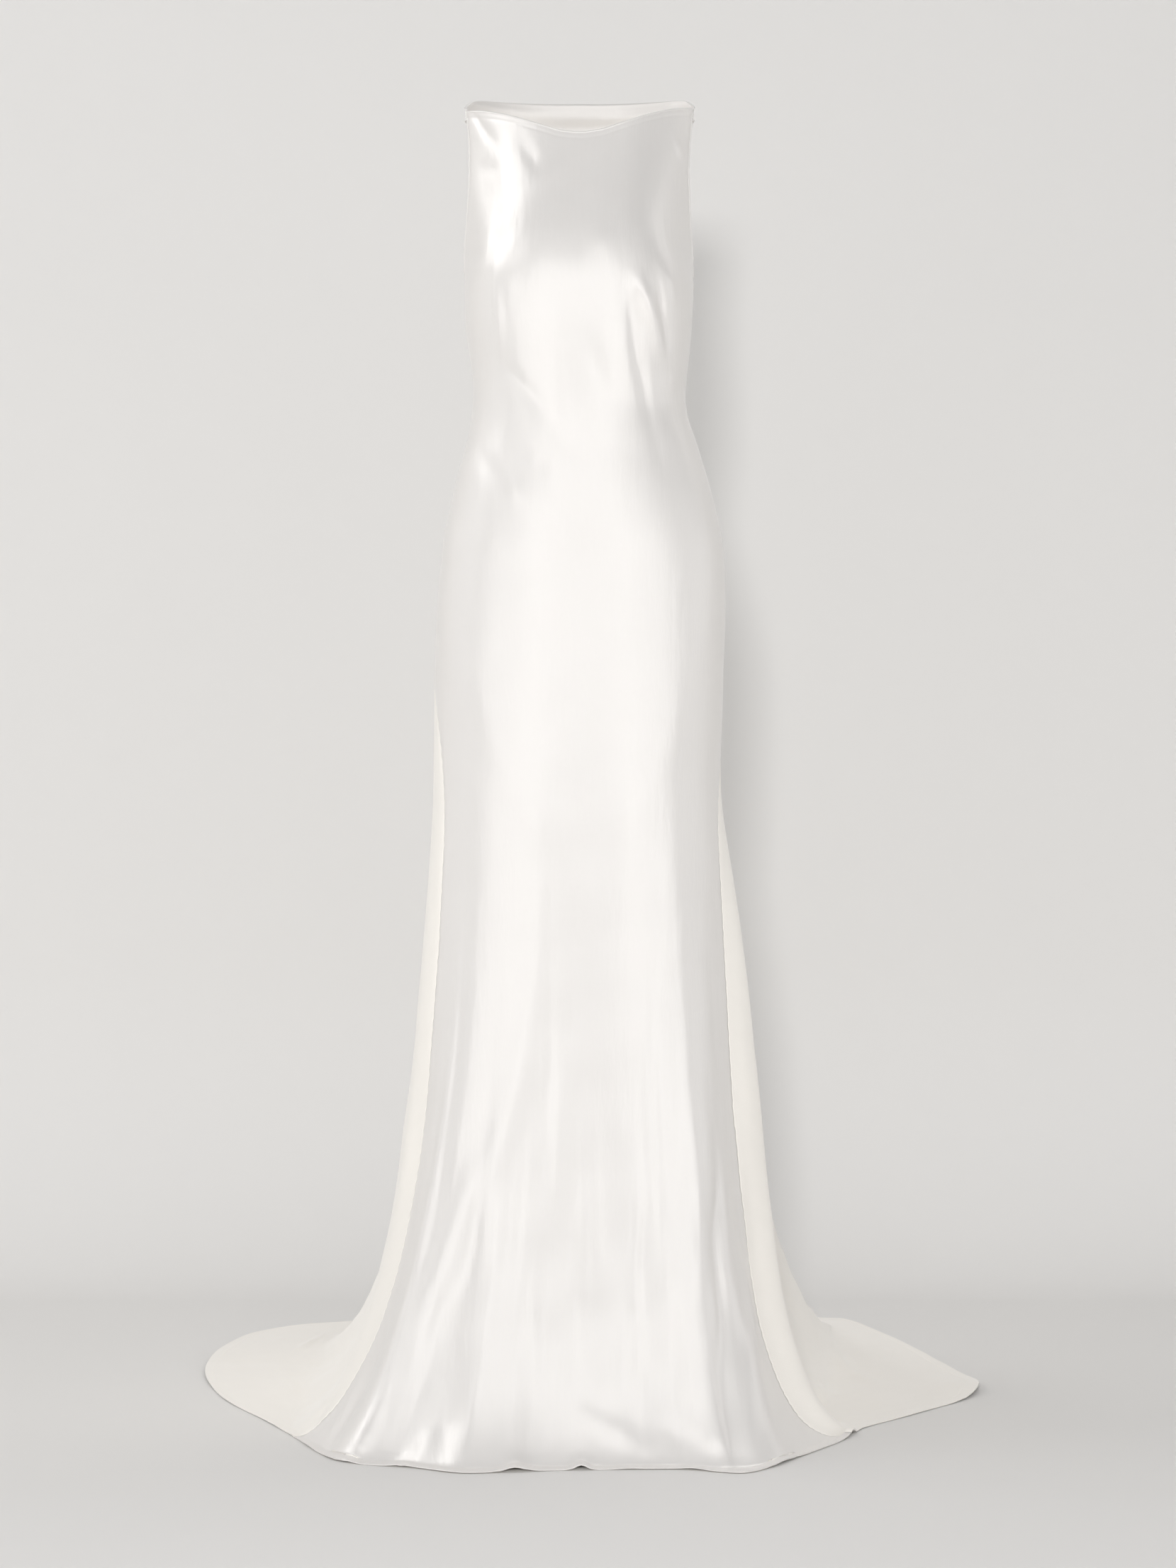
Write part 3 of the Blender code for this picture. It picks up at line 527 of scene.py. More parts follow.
@dataclass(frozen=True)
class Wrinkles:
    """Small irregular waves that no cloth is without, the same in every run.

    A pair named from or end holds the place where a change begins and its length.
    """

    seed: int = 7
    waves: int = 26
    upright: float = 0.45
    wave_lengths: tuple[float, float] = (0.030, 0.110)
    wave_scale: float = 2.4
    torso_height: float = 0.00022
    skirt_height: float = 0.0007
    skirt_from: tuple[float, float] = (0.75, 0.65)
    flutes: tuple[int, ...] = (9, 13, 17, 22, 29)
    flute_fade: float = 18.0
    flute_drift: float = 0.9
    flute_height: float = 0.0009
    flutes_from: tuple[float, float] = (0.95, 0.55)
    flutes_end: tuple[float, float] = (1.52, 0.15)
    flutes_lost: float = 0.6
    streaks: int = 170
    streak_middles: tuple[float, float] = (1.05, 1.55)
    streak_halves: tuple[float, float] = (0.10, 0.34)
    streak_widths: tuple[float, float] = (0.018, 0.050)
    streak_heights_mm: tuple[float, float] = (0.35, 1.25)
    streak_signs: tuple[float, float] = (-0.8, 1.0)
    streak_lean: float = 0.12
    streak_usual_width: float = 0.03
    streaks_end: tuple[float, float] = (1.53, 0.06)
    streaks_lost: float = 0.8

    def height(self, points: np.ndarray, place: np.ndarray, station: np.ndarray) -> np.ndarray:
        """Heights of all the waves over a grid of points.

        Args:
            points: the grid.
            place: place of each row.
            station: station of each column.

        Returns:
            One height for each point, in metres.
        """
        chance = np.random.default_rng(self.seed)
        total = self._waves(chance, points)
        grown = ramp(place, *self.skirt_from)[:, None]
        rise = self.skirt_height - self.torso_height
        total *= self.wave_scale * (self.torso_height + rise * grown)
        total += self._flutes(chance, place, station)
        return total + self._streaks(chance, place, station)

    def _waves(self, chance: np.random.Generator, points: np.ndarray) -> np.ndarray:
        """Waves that cross the cloth in all directions, at most 1 high.

        Args:
            chance: the source of the random draws.
            points: the grid.

        Returns:
            One height for each point.
        """
        total = np.zeros(points.shape[:2])
        for _ in range(self.waves):
            way = chance.normal(size=3) * np.array([1.0, 1.0, self.upright])
            way /= np.linalg.norm(way)
            long = chance.uniform(*self.wave_lengths)
            phase = chance.uniform(0, 2 * math.pi)
            total += np.sin(points @ way * (2 * math.pi / long) + phase) * long
        return total / np.abs(total).max()

    def _flutes(
        self, chance: np.random.Generator, place: np.ndarray, station: np.ndarray
    ) -> np.ndarray:
        """Soft upright waves round the skirt, which settle towards the floor.

        Args:
            chance: the source of the random draws.
            place: place of each row.
            station: station of each column.

        Returns:
            One height for each point, in metres.
        """
        total = np.zeros((len(place), len(station)))
        for count in self.flutes:
            phase = chance.uniform(0, 2 * math.pi)
            drift = chance.uniform(-self.flute_drift, self.flute_drift)
            turn = 2 * math.pi * count * station[None, :] / 4 + phase + drift * place[:, None]
            total += np.sin(turn) / (1 + count / self.flute_fade)
        settled = self.flutes_lost * ramp(place, *self.flutes_end)
        strength = ramp(place, *self.flutes_from) * (1 - settled)
        return total * self.flute_height * strength[:, None]

    def _streaks(
        self, chance: np.random.Generator, place: np.ndarray, station: np.ndarray
    ) -> np.ndarray:
        """Fine soft folds that run down the skirt, each over its own stretch.

        Args:
            chance: the source of the random draws.
            place: place of each row.
            station: station of each column.

        Returns:
            One height for each point, in metres.
        """
        total = np.zeros((len(place), len(station)))
        for _ in range(self.streaks):
            across = chance.uniform(-2, 2)
            middle = chance.uniform(*self.streak_middles)
            half = chance.uniform(*self.streak_halves)
            wide = chance.uniform(*self.streak_widths)
            tall = chance.uniform(*self.streak_heights_mm) / 1000
            tall *= chance.choice(self.streak_signs)
            lean = chance.uniform(-self.streak_lean, self.streak_lean)
            drift = across + lean * (place[:, None] - middle)
            apart = (station[None, :] - drift + 2) % 4 - 2
            along = np.clip(1 - np.abs(place - middle) / half, 0, 1)[:, None]
            total += tall * wide / self.streak_usual_width * eased(along) * bell(apart, 0, wide)
        return total * (1 - self.streaks_lost * ramp(place, *self.streaks_end))[:, None]


@dataclass
class PanelGrid:
    """The outer face of a panel: its points, outward normals and places."""

    points: np.ndarray
    normal: np.ndarray
    place: np.ndarray


@dataclass
class GownSurface:
    """The outer face of the whole gown, as a fine grid of places and stations."""

    torso: TorsoForm = field(default_factory=TorsoForm)
    skirt: SkirtForm = field(default_factory=SkirtForm)
    wrinkles: Wrinkles = field(default_factory=Wrinkles)
    creases: tuple[Crease, ...] = (
        TORSO_CREASES + SKIRT_CREASES + BACK_CREASES + TRAIN_CREASES
    )
    thickness: float = 0.0012
    row_step: float = 0.003
    front_columns: int = 150
    back_columns: int = 132
    seam_crowding: float = 0.15
    blend_reach: float = 0.070
    floor_reach: float = 0.045
    average_width: float = 0.6
    # How a crease is laid: the stations that the camera sees, the weight of a station
    # against a row, the points that fix a corner, and the steps and reach of its run.
    seen_stations: float = 1.16
    station_weight: float = 60.0
    fixing_points: int = 5
    run_steps: int = 6
    crease_reach: float = 3.2
    skew_share: float = 0.5
    floor_soft: float = 0.0015
    # Waves of the lying cloth: turns along x and along y, phase and strength.
    lying_waves: tuple = ((31, 9, 0.6, 1.0), (17, -38, 2.1, 1.0), (53, 27, 4.0, 0.5))
    lying_height: float = 0.0016
    lying_early: float = 0.02
    lying_ramp: float = 0.05
    # Where the hem lifts off the floor: station, half width, first place, ramp and height.
    lifts: tuple = (
        (-0.196, 0.040, 1.50, 0.08, 0.0052),
        (0.007, 0.030, 1.52, 0.06, 0.0062),
        (0.420, 0.050, 1.52, 0.06, 0.0014),
        (-0.560, 0.045, 1.52, 0.06, 0.0016),
        (1.016, 0.030, 1.60, 0.05, 0.0065),
        (1.335, 0.040, 1.66, 0.05, 0.0085),
        (-1.400, 0.040, 1.67, 0.05, 0.0050),
        (1.720, 0.060, 1.66, 0.05, 0.0040),
        (-1.800, 0.070, 1.66, 0.05, 0.0045),
    )

    def __post_init__(self) -> None:
        """Makes the grid: base form, broad folds, creases, wrinkles and the floor."""
        self.section, self.edge = self.torso.prepared()
        self.meridian = self.skirt.prepared()
        self.place = np.arange(0, CLOTH_LENGTH + self.row_step / 2, self.row_step)
        self.reach = self._reach()
        self.station = np.where(self.reach > 2, self.reach - 4, self.reach)
        self.station = np.where(self.reach < -2, self.reach + 4, self.station)
        base = self._base()
        normal = grid_normals(base)
        self.seen = self._seen(base)
        height = self.wrinkles.height(base, self.place, self.station)
        for crease in self.creases:
            height += self._crease_height(crease, base, normal)
        self.points = self._on_floor(base + normal * height[..., None])
        LOG.info("surface of %d x %d points", *self.points.shape[:2])

    def _reach(self) -> np.ndarray:
        """Stations of the columns, going round past the centre back by two columns.

        Returns:
            The stations, in rising order.
        """
        front = self._spread(-1, 1, self.front_columns)
        right = self._spread(1, 2, self.back_columns)
        step = right[-1] - right[-2]
        ghost = np.array([step, 2 * step])
        return np.concatenate([-2 - ghost[::-1], -right[::-1], front[1:-1], right, 2 + ghost])

    def _spread(self, start: float, end: float, count: int) -> np.ndarray:
        """Stations that lie closer together at both ends, for the seams.

        Args:
            start: the first station.
            end: the last station.
            count: how many there are.

        Returns:
            The stations, in rising order.
        """
        t = np.linspace(0, 1, count)
        crowded = (1 - np.cos(math.pi * t)) / 2
        near = (1 - self.seam_crowding) * t + self.seam_crowding * crowded
        return start + (end - start) * near

    def body(self, station: np.ndarray, z: np.ndarray) -> np.ndarray:
        """Points of the torso.

        Args:
            station: their stations.
            z: their heights.

        Returns:
            The points, along one more axis.
        """
        left = station < 0
        edge = np.radians(np.where(left, self.edge["left"](z), self.edge["right"](z)))
        reach = np.abs(station)
        angle = np.where(reach <= 1, reach * edge, edge + (reach - 1) * (math.pi - edge))
        across = np.where(left, self.section["left"](z), self.section["right"](z))
        side, square = self.section["side"](z), self.section["square"](z)
        sine, cosine = np.sin(angle), np.cos(angle)
        spread = (np.abs(sine) ** square + np.abs(cosine) ** square) ** (1 / square)
        front, back = self.section["front"](z) + side, self.section["back"](z) - side
        x = np.where(left, -1, 1) * across * sine / spread
        y = side - np.where(cosine > 0, front, back) * cosine / spread
        hung = np.where(reach <= 1, self.section["hung"](z), 0)
        x += hung * (across * station - x)
        y += hung * (side - front * (1 - reach**self.torso.hung_power) - y)
        return np.stack([x, y, z + 0 * x], axis=-1)

    def _hanging(self, station: np.ndarray, share: np.ndarray) -> np.ndarray:
        """Points of the skirt.

        Args:
            station: their stations.
            share: 0 at the skirt's top, 1 at the floor and 2 at the hem.

        Returns:
            The points, along one more axis.
        """
        value = {name: curve(station) for name, curve in self.meridian.items()}
        floor = np.full_like(station, FLOOR_Z + self.thickness)
        top = self.body(station, np.full_like(station, SKIRT_TOP_Z))
        lean = np.stack([value["lean_x"], value["lean_y"], -value["drop"]], axis=-1)
        lower = np.stack([value["low_x"], value["low_y"], floor + value["rise"]], axis=-1)
        touch = np.stack([value["touch_x"], value["touch_y"], floor], axis=-1)
        hem = np.stack([value["hem_x"], value["hem_y"], floor], axis=-1)
        t = np.clip(share, 0, 1)[..., None]
        falling = (
            top * (1 - t) ** 3
            + 3 * (top + lean) * t * (1 - t) ** 2
            + 3 * lower * t**2 * (1 - t)
            + touch * t**3
        )
        way = unit((touch - lower) * np.array([1, 1, 0]))
        run = np.linalg.norm(hem - touch, axis=-1, keepdims=True)
        bend = touch + way * run * self.skirt.floor_bend
        t = np.clip(share - 1, 0, 1)[..., None]
        lying = touch * (1 - t) ** 2 + 2 * bend * t * (1 - t) + hem * t**2
        return np.where(share[..., None] <= 1, falling, lying)

    def _base(self) -> np.ndarray:
        """The form with its rounded forms and broad folds, before any crease.

        Returns:
            A grid of points.
        """
        place, station = np.meshgrid(self.place, self.station, indexing="ij")
        on_body = self.place < TORSO_LENGTH
        body = self.body(station[on_body], TOP_Z - place[on_body])
        run = place[~on_body] - TORSO_LENGTH
        share = np.minimum(run, SKIRT_LENGTH) / SKIRT_LENGTH
        share = share + np.maximum(run - SKIRT_LENGTH, 0) / FLOOR_LENGTH
        points = np.concatenate([body, self._hanging(station[~on_body], share)])
        points = self._averaged(points, TORSO_LENGTH, self.blend_reach)
        points = self._averaged(points, FLOOR_PLACE, self.floor_reach)
        height = np.concatenate([
            self.torso.height(station[on_body], body[..., 2]),
            self.skirt.height(station[~on_body], share),
        ])
        return points + grid_normals(points) * height[..., None]

    def _averaged(self, points: np.ndarray, join: float, reach: float) -> np.ndarray:
        """The same meridians with a bend spread out.

        Args:
            points: the grid.
            join: place of the bend.
            reach: how far it is spread either way.

        Returns:
            A new grid.
        """
        result = points.copy()
        slope = np.gradient(points, self.place, axis=0)
        for row in np.flatnonzero(np.abs(self.place - join) < 2 * reach):
            near = 1 - abs(self.place[row] - join) / (2 * reach)
            weight = bell(self.place, self.place[row], reach * self.average_width)
            weight = weight / weight.sum()
            mean = np.einsum("r,rcx->cx", weight, points)
            mean = mean + slope[row] * (self.place[row] - weight @ self.place)
            result[row] = points[row] + near * (mean - points[row])
        return result

    @staticmethod
    def _seen(points: np.ndarray) -> np.ndarray:
        """Where the camera sees each point on the plane y = 0.

        Args:
            points: the grid.

        Returns:
            The x and z of each, along the last axis.
        """
        x, y, z = CAMERA_PLACE
        nearer = -y / (points[..., 1] - y)
        seen_x = x + (points[..., 0] - x) * nearer
        seen_z = z + (points[..., 2] - z) * nearer
        return np.stack([seen_x, seen_z], axis=-1)

    def _located(self, crease: Crease, base: np.ndarray) -> np.ndarray:
        """The corners of a crease's run on the surface.

        Args:
            crease: the crease.
            base: the grid that it lies on.

        Returns:
            One point for each corner.
        """
        found = []
        shown = np.abs(self.station) < self.seen_stations
        for first, second, *_ in crease.points:
            if crease.space is Space.SEEN:
                apart = np.linalg.norm(self.seen[:, shown] - (first, second), axis=-1)
                grid = base[:, shown]
            else:
                row = (self.place[:, None] - second) / self.row_step
                column = (self.station[None, :] - first) * self.station_weight
                apart = np.hypot(row, column)
                grid = base
            nearest = np.argpartition(apart.ravel(), self.fixing_points)[: self.fixing_points]
            weight = 1 / (apart.ravel()[nearest] ** 2 + 1e-8)
            near_points = grid.reshape(-1, 3)[nearest]
            found.append((near_points * weight[:, None]).sum(axis=0) / weight.sum())
        return np.array(found)

    def _crease_height(
        self, crease: Crease, base: np.ndarray, normal: np.ndarray
    ) -> np.ndarray:
        """How far a crease stands out.

        Args:
            crease: the crease.
            base: the grid that it lies on.
            normal: the grid's outward normals.

        Returns:
            One height for each point of the grid.
        """
        corners = self._located(crease, base)
        shape = np.array([(width, height) for *_, width, height in crease.points]) / 1000
        knots = np.arange(len(corners), dtype=float)
        fine = np.linspace(0, knots[-1], self.run_steps * (len(corners) - 1) + 1)
        path = np.stack([spline(knots, corners[:, axis], fine) for axis in range(3)], axis=-1)
        sizes = np.stack([np.interp(fine, knots, shape[:, i]) for i in range(2)], axis=-1)
        far = self.crease_reach * shape[:, 0].max()
        low, high = path.min(axis=0) - far, path.max(axis=0) + far
        inside = ((base > low) & (base < high)).all(axis=-1)
        points, facing = base[inside], normal[inside]
        nearest = np.full(len(points), np.inf)
        result = np.zeros(len(points))
        for start, end, first, last in zip(path, path[1:], sizes, sizes[1:]):
            run = end - start
            t = np.clip((points - start) @ run / (run @ run), 0, 1)
            offset = points - (start + t[:, None] * run)
            apart = np.linalg.norm(offset, axis=1)
            size = first + t[:, None] * (last - first)
            side = np.sign(np.einsum("nx,nx->n", np.cross(run, facing), offset))
            wide = size[:, 0] * (1 - self.skew_share * crease.skew * side)
            result = np.where(apart < nearest, size[:, 1] * bell(apart, 0, wide), result)
            nearest = np.minimum(nearest, apart)
        height = np.zeros(base.shape[:2])
        height[inside] = result
        return height

    def _on_floor(self, points: np.ndarray) -> np.ndarray:
        """The points kept above the floor by a soft limit, with low waves where they lie.

        Args:
            points: the grid.

        Returns:
            A new grid.
        """
        rest = FLOOR_Z + self.thickness
        above = points[..., 2] - rest
        soft = (above + np.sqrt(above**2 + 4 * self.floor_soft**2)) / 2 - self.floor_soft
        lying = ramp(self.place, FLOOR_PLACE - self.lying_early, self.lying_ramp)[:, None]
        wave, strongest = np.zeros_like(above), 0.0
        for turns_x, turns_y, phase, strength in self.lying_waves:
            turn = turns_x * points[..., 0] + turns_y * points[..., 1] + phase
            wave += strength * np.sin(turn)
            strongest += strength
        wave = (wave / strongest + 1) / 2
        result = points.copy()
        result[..., 2] = rest + np.maximum(soft, 0) + lying * self.lying_height * wave
        for station, wide, first, length, tall in self.lifts:
            raised = ramp(self.place, first, length)[:, None]
            result[..., 2] += tall * raised * bell(self.station, station, wide)[None, :]
        return result

    def panel(self, first: float, last: float, top: Curve, rows: np.ndarray) -> PanelGrid:
        """A panel's outer face between two stations.

        Args:
            first: station of the left edge, as it goes round.
            last: station of the right edge.
            top: height of the top edge by station.
            rows: places of the rows, as shares of the way from the top edge to the hem.

        Returns:
            Its points, outward normals and places.
        """
        inside = np.flatnonzero((self.reach > first - 1e-6) & (self.reach < last + 1e-6))
        wider = np.concatenate([[inside[0] - 1], inside, [inside[-1] + 1]])
        start = TOP_Z - top(self.reach[wider])
        place = start[None, :] + (CLOTH_LENGTH - start[None, :]) * rows[:, None]
        grid = self._read(place, wider)
        normal = grid_normals(grid)
        return PanelGrid(grid[:, 1:-1], normal[:, 1:-1], place[:, 1:-1])

    def _read(self, place: np.ndarray, columns: np.ndarray) -> np.ndarray:
        """Points at any places of some columns, on a smooth curve between the rows.

        Args:
            place: the places, one row of them for each row of points.
            columns: which columns they are read in.

        Returns:
            The points.
        """
        index = np.clip(place / self.row_step, 0, len(self.place) - 1)
        row = np.clip(index.astype(int), 1, len(self.place) - 3)
        around = [self.points[row + step, columns] for step in (-1, 0, 1, 2)]
        return between(*around, (index - row)[..., None])


def between(
    before: np.ndarray, here: np.ndarray, after: np.ndarray, beyond: np.ndarray, t: np.ndarray
) -> np.ndarray:
    """A smooth curve through four values in a row, read between the middle two.

    Args:
        before: the first value.
        here: the second.
        after: the third.
        beyond: the fourth.
        t: the share of the way from the second to the third.

    Returns:
        The value there.
    """
    return 0.5 * (
        2 * here
        + (after - before) * t
        + (2 * before - 5 * here + 4 * after - beyond) * t**2
        + (3 * here - before - 3 * after + beyond) * t**3
    )


def spline(knots: np.ndarray, values: np.ndarray, x: np.ndarray) -> np.ndarray:
    """A smooth curve through values that lie one step apart.

    Args:
        knots: where they lie, from 0.
        values: the values.
        x: where the curve is read.

    Returns:
        The curve at x.
    """
    padded = np.concatenate([[2 * values[0] - values[1]], values, [2 * values[-1] - values[-2]]])
    place = np.clip(x.astype(int), 0, len(knots) - 2)
    return between(*(padded[place + step] for step in range(4)), x - place)


def darker(colour: Triple, share: float) -> Triple:
    """The colour at a share of its brightness."""
    return tuple(channel * share for channel in colour)


class NodeBuilder:
    """Adds nodes to a tree, with their inputs set or joined."""

    def __init__(self, tree: bpy.types.NodeTree) -> None:
        """Takes the tree that the nodes go into."""
        self.tree = tree

    def fill(self, node: bpy.types.Node, inputs: dict) -> bpy.types.Node:
        """Sets or joins inputs of a node.

        Args:
            node: the node.
            inputs: plain values, and sockets to join, by the names of its inputs.

        Returns:
            The same node.
        """
        for name, value in inputs.items():
            if isinstance(value, Socket):
                self.tree.links.new(value, node.inputs[name])
            else:
                node.inputs[name].default_value = value
        return node

    def add(self, kind: str, inputs: dict) -> bpy.types.Node:
        """A new node of a kind, with the inputs given set or joined."""
        return self.fill(self.tree.nodes.new(kind), inputs)


class MaterialNodes(NodeBuilder):
    """The nodes of a new material, with the ones that both finishes of the cloth need."""

    def __init__(self, name: str) -> None:
        """Makes the material and finds its shader.

        Args:
            name: the material's name.
        """
        self.material = bpy.data.materials.new(name)
        self.material.use_nodes = True
        super().__init__(self.material.node_tree)
        self.shader = self.tree.nodes["Principled BSDF"]

    def cloth(self) -> Socket:
        """The place on the cloth.

        Returns:
            The socket of the place, in metres.
        """
        place = self.add("ShaderNodeUVMap", {})
        place.uv_map = "cloth"
        return place.outputs["UV"]

    def noise(self, where: Socket, scale: float, detail: float) -> Socket:
        """A cloudy value over the places given, from 0 to 1."""
        values = {"Vector": where, "Scale": scale, "Detail": detail}
        return self.add("ShaderNodeTexNoise", values).outputs["Fac"]

    def long_noise(
        self, where: Socket, scale: float, length: float, detail: float
    ) -> Socket:
        """A cloudy value drawn out down the cloth.

        Args:
            where: the places.
            scale: how fine it is across.
            length: how much longer than wide its grains are.
            detail: how many finer grains are laid over it.

        Returns:
            The socket of the value.
        """
        values = {"Vector": where, "Scale": (scale, scale / length, 1.0)}
        return self.noise(self.add("ShaderNodeMapping", values).outputs["Vector"], 1.0, detail)

    def tint(self, factor: Socket, colour: Triple, share: float) -> Socket:
        """A colour that goes from a darker one to itself.

        Args:
            factor: how far it has gone.
            colour: the full colour.
            share: brightness of the darker one as a share of it.

        Returns:
            The socket of the colour.
        """
        mix = self.add("ShaderNodeMix", {})
        mix.data_type = "RGBA"
        sockets = [socket for socket in mix.inputs if socket.type == "RGBA"]
        sockets[0].default_value = (*darker(colour, share), 1.0)
        sockets[1].default_value = (*colour, 1.0)
        self.fill(mix, {"Factor": factor})
        return next(socket for socket in mix.outputs if socket.type == "RGBA")

    def spread(self, value: Socket, low: float, high: float) -> Socket:
        """The value brought from the range 0 to 1 into another range."""
        values = {"Value": value, "To Min": low, "To Max": high}
        return self.add("ShaderNodeMapRange", values).outputs["Result"]

    def bump(self, height: Socket, strength: float, distance: float) -> bpy.types.Node:
        """A bump of a height in metres, taken in part."""
        values = {"Height": height, "Strength": strength, "Distance": distance}
        return self.add("ShaderNodeBump", values)


@dataclass(frozen=True)
class SatinFinish:
    """Heavy satin, ivory, with a broad soft sheen."""

    name: str = "ivory_satin"
    colour: Triple = (0.86, 0.835, 0.81)
    metallic: float = 0.30
    roughness: float = 0.34
    rough_range: float = 0.03
    coat: float = 0.12
    coat_roughness: float = 0.42
    sheen: float = 0.15
    sheen_roughness: float = 0.4
    clouds: float = 26.0
    cloud_detail: float = 4.0
    cloud_tint: float = 0.985
    threads: float = 2600.0
    thread_length: float = 9.0
    thread_detail: float = 2.0
    thread_strength: float = 0.10
    thread_height: float = 0.00008
    ripples: float = 95.0
    ripple_length: float = 5.0
    ripple_detail: float = 3.0
    ripple_height: float = 0.0005

    def build(self) -> bpy.types.Material:
        """Makes the satin, with fine floats along the warp and a slight cloudiness.

        Returns:
            The material.
        """
        nodes = MaterialNodes(self.name)
        cloth = nodes.cloth()
        cloudy = nodes.noise(cloth, self.clouds, self.cloud_detail)
        threads = nodes.long_noise(cloth, self.threads, self.thread_length, self.thread_detail)
        ripples = nodes.long_noise(cloth, self.ripples, self.ripple_length, self.ripple_detail)
        broad = nodes.bump(ripples, 1.0, self.ripple_height)
        fine = nodes.bump(threads, self.thread_strength, self.thread_height)
        nodes.fill(fine, {"Normal": broad.outputs["Normal"]})
        low, high = self.roughness - self.rough_range, self.roughness + self.rough_range
        nodes.fill(nodes.shader, {
            "Base Color": nodes.tint(cloudy, self.colour, self.cloud_tint),
            "Metallic": self.metallic,
            "Roughness": nodes.spread(cloudy, low, high),
            "Coat Weight": self.coat,
            "Coat Roughness": self.coat_roughness,
            "Sheen Weight": self.sheen,
            "Sheen Roughness": self.sheen_roughness,
            "Normal": fine.outputs["Normal"],
        })
        return nodes.material


@dataclass(frozen=True)
class CrepeFinish:
    """The crepe face of the same cloth, warmer and matt, with a fine pebble."""

    name: str = "ivory_crepe"
    colour: Triple = (0.935, 0.90, 0.845)
    specular: float = 0.35
    roughness: tuple[float, float] = (0.70, 0.80)
    sheen: float = 0.30
    sheen_roughness: float = 0.5
    clouds: float = 34.0
    cloud_detail: float = 5.0
    cloud_tint: float = 0.97
    pebbles: float = 1500.0
    pebble_strength: float = 0.35
    pebble_height: float = 0.00012

    def build(self) -> bpy.types.Material:
        """Makes the crepe, with a fine pebble and a slight cloudiness.

        Returns:
            The material.
        """
        nodes = MaterialNodes(self.name)
        cloth = nodes.cloth()
        grain = nodes.add("ShaderNodeTexVoronoi", {"Vector": cloth, "Scale": self.pebbles})
        pebble = grain.outputs["Distance"]
        cloudy = nodes.noise(cloth, self.clouds, self.cloud_detail)
        raised = nodes.bump(pebble, self.pebble_strength, self.pebble_height)
        nodes.fill(nodes.shader, {
            "Base Color": nodes.tint(cloudy, self.colour, self.cloud_tint),
            "Specular IOR Level": self.specular,
            "Roughness": nodes.spread(pebble, *self.roughness),
            "Sheen Weight": self.sheen,
            "Sheen Roughness": self.sheen_roughness,
            "Normal": raised.outputs["Normal"],
        })
        return nodes.material


def run_along(points: np.ndarray, axis: int) -> np.ndarray:
    """Distance of each point of a grid from the start of its row or column.

    Args:
        points: the grid.
        axis: the axis that the distance is measured along.

    Returns:
        The distances, in metres.
    """
    steps = np.linalg.norm(np.diff(points, axis=axis), axis=-1)
    start = np.zeros_like(np.take(steps, [0], axis=axis))
    return np.concatenate([start, np.cumsum(steps, axis=axis)], axis=axis)


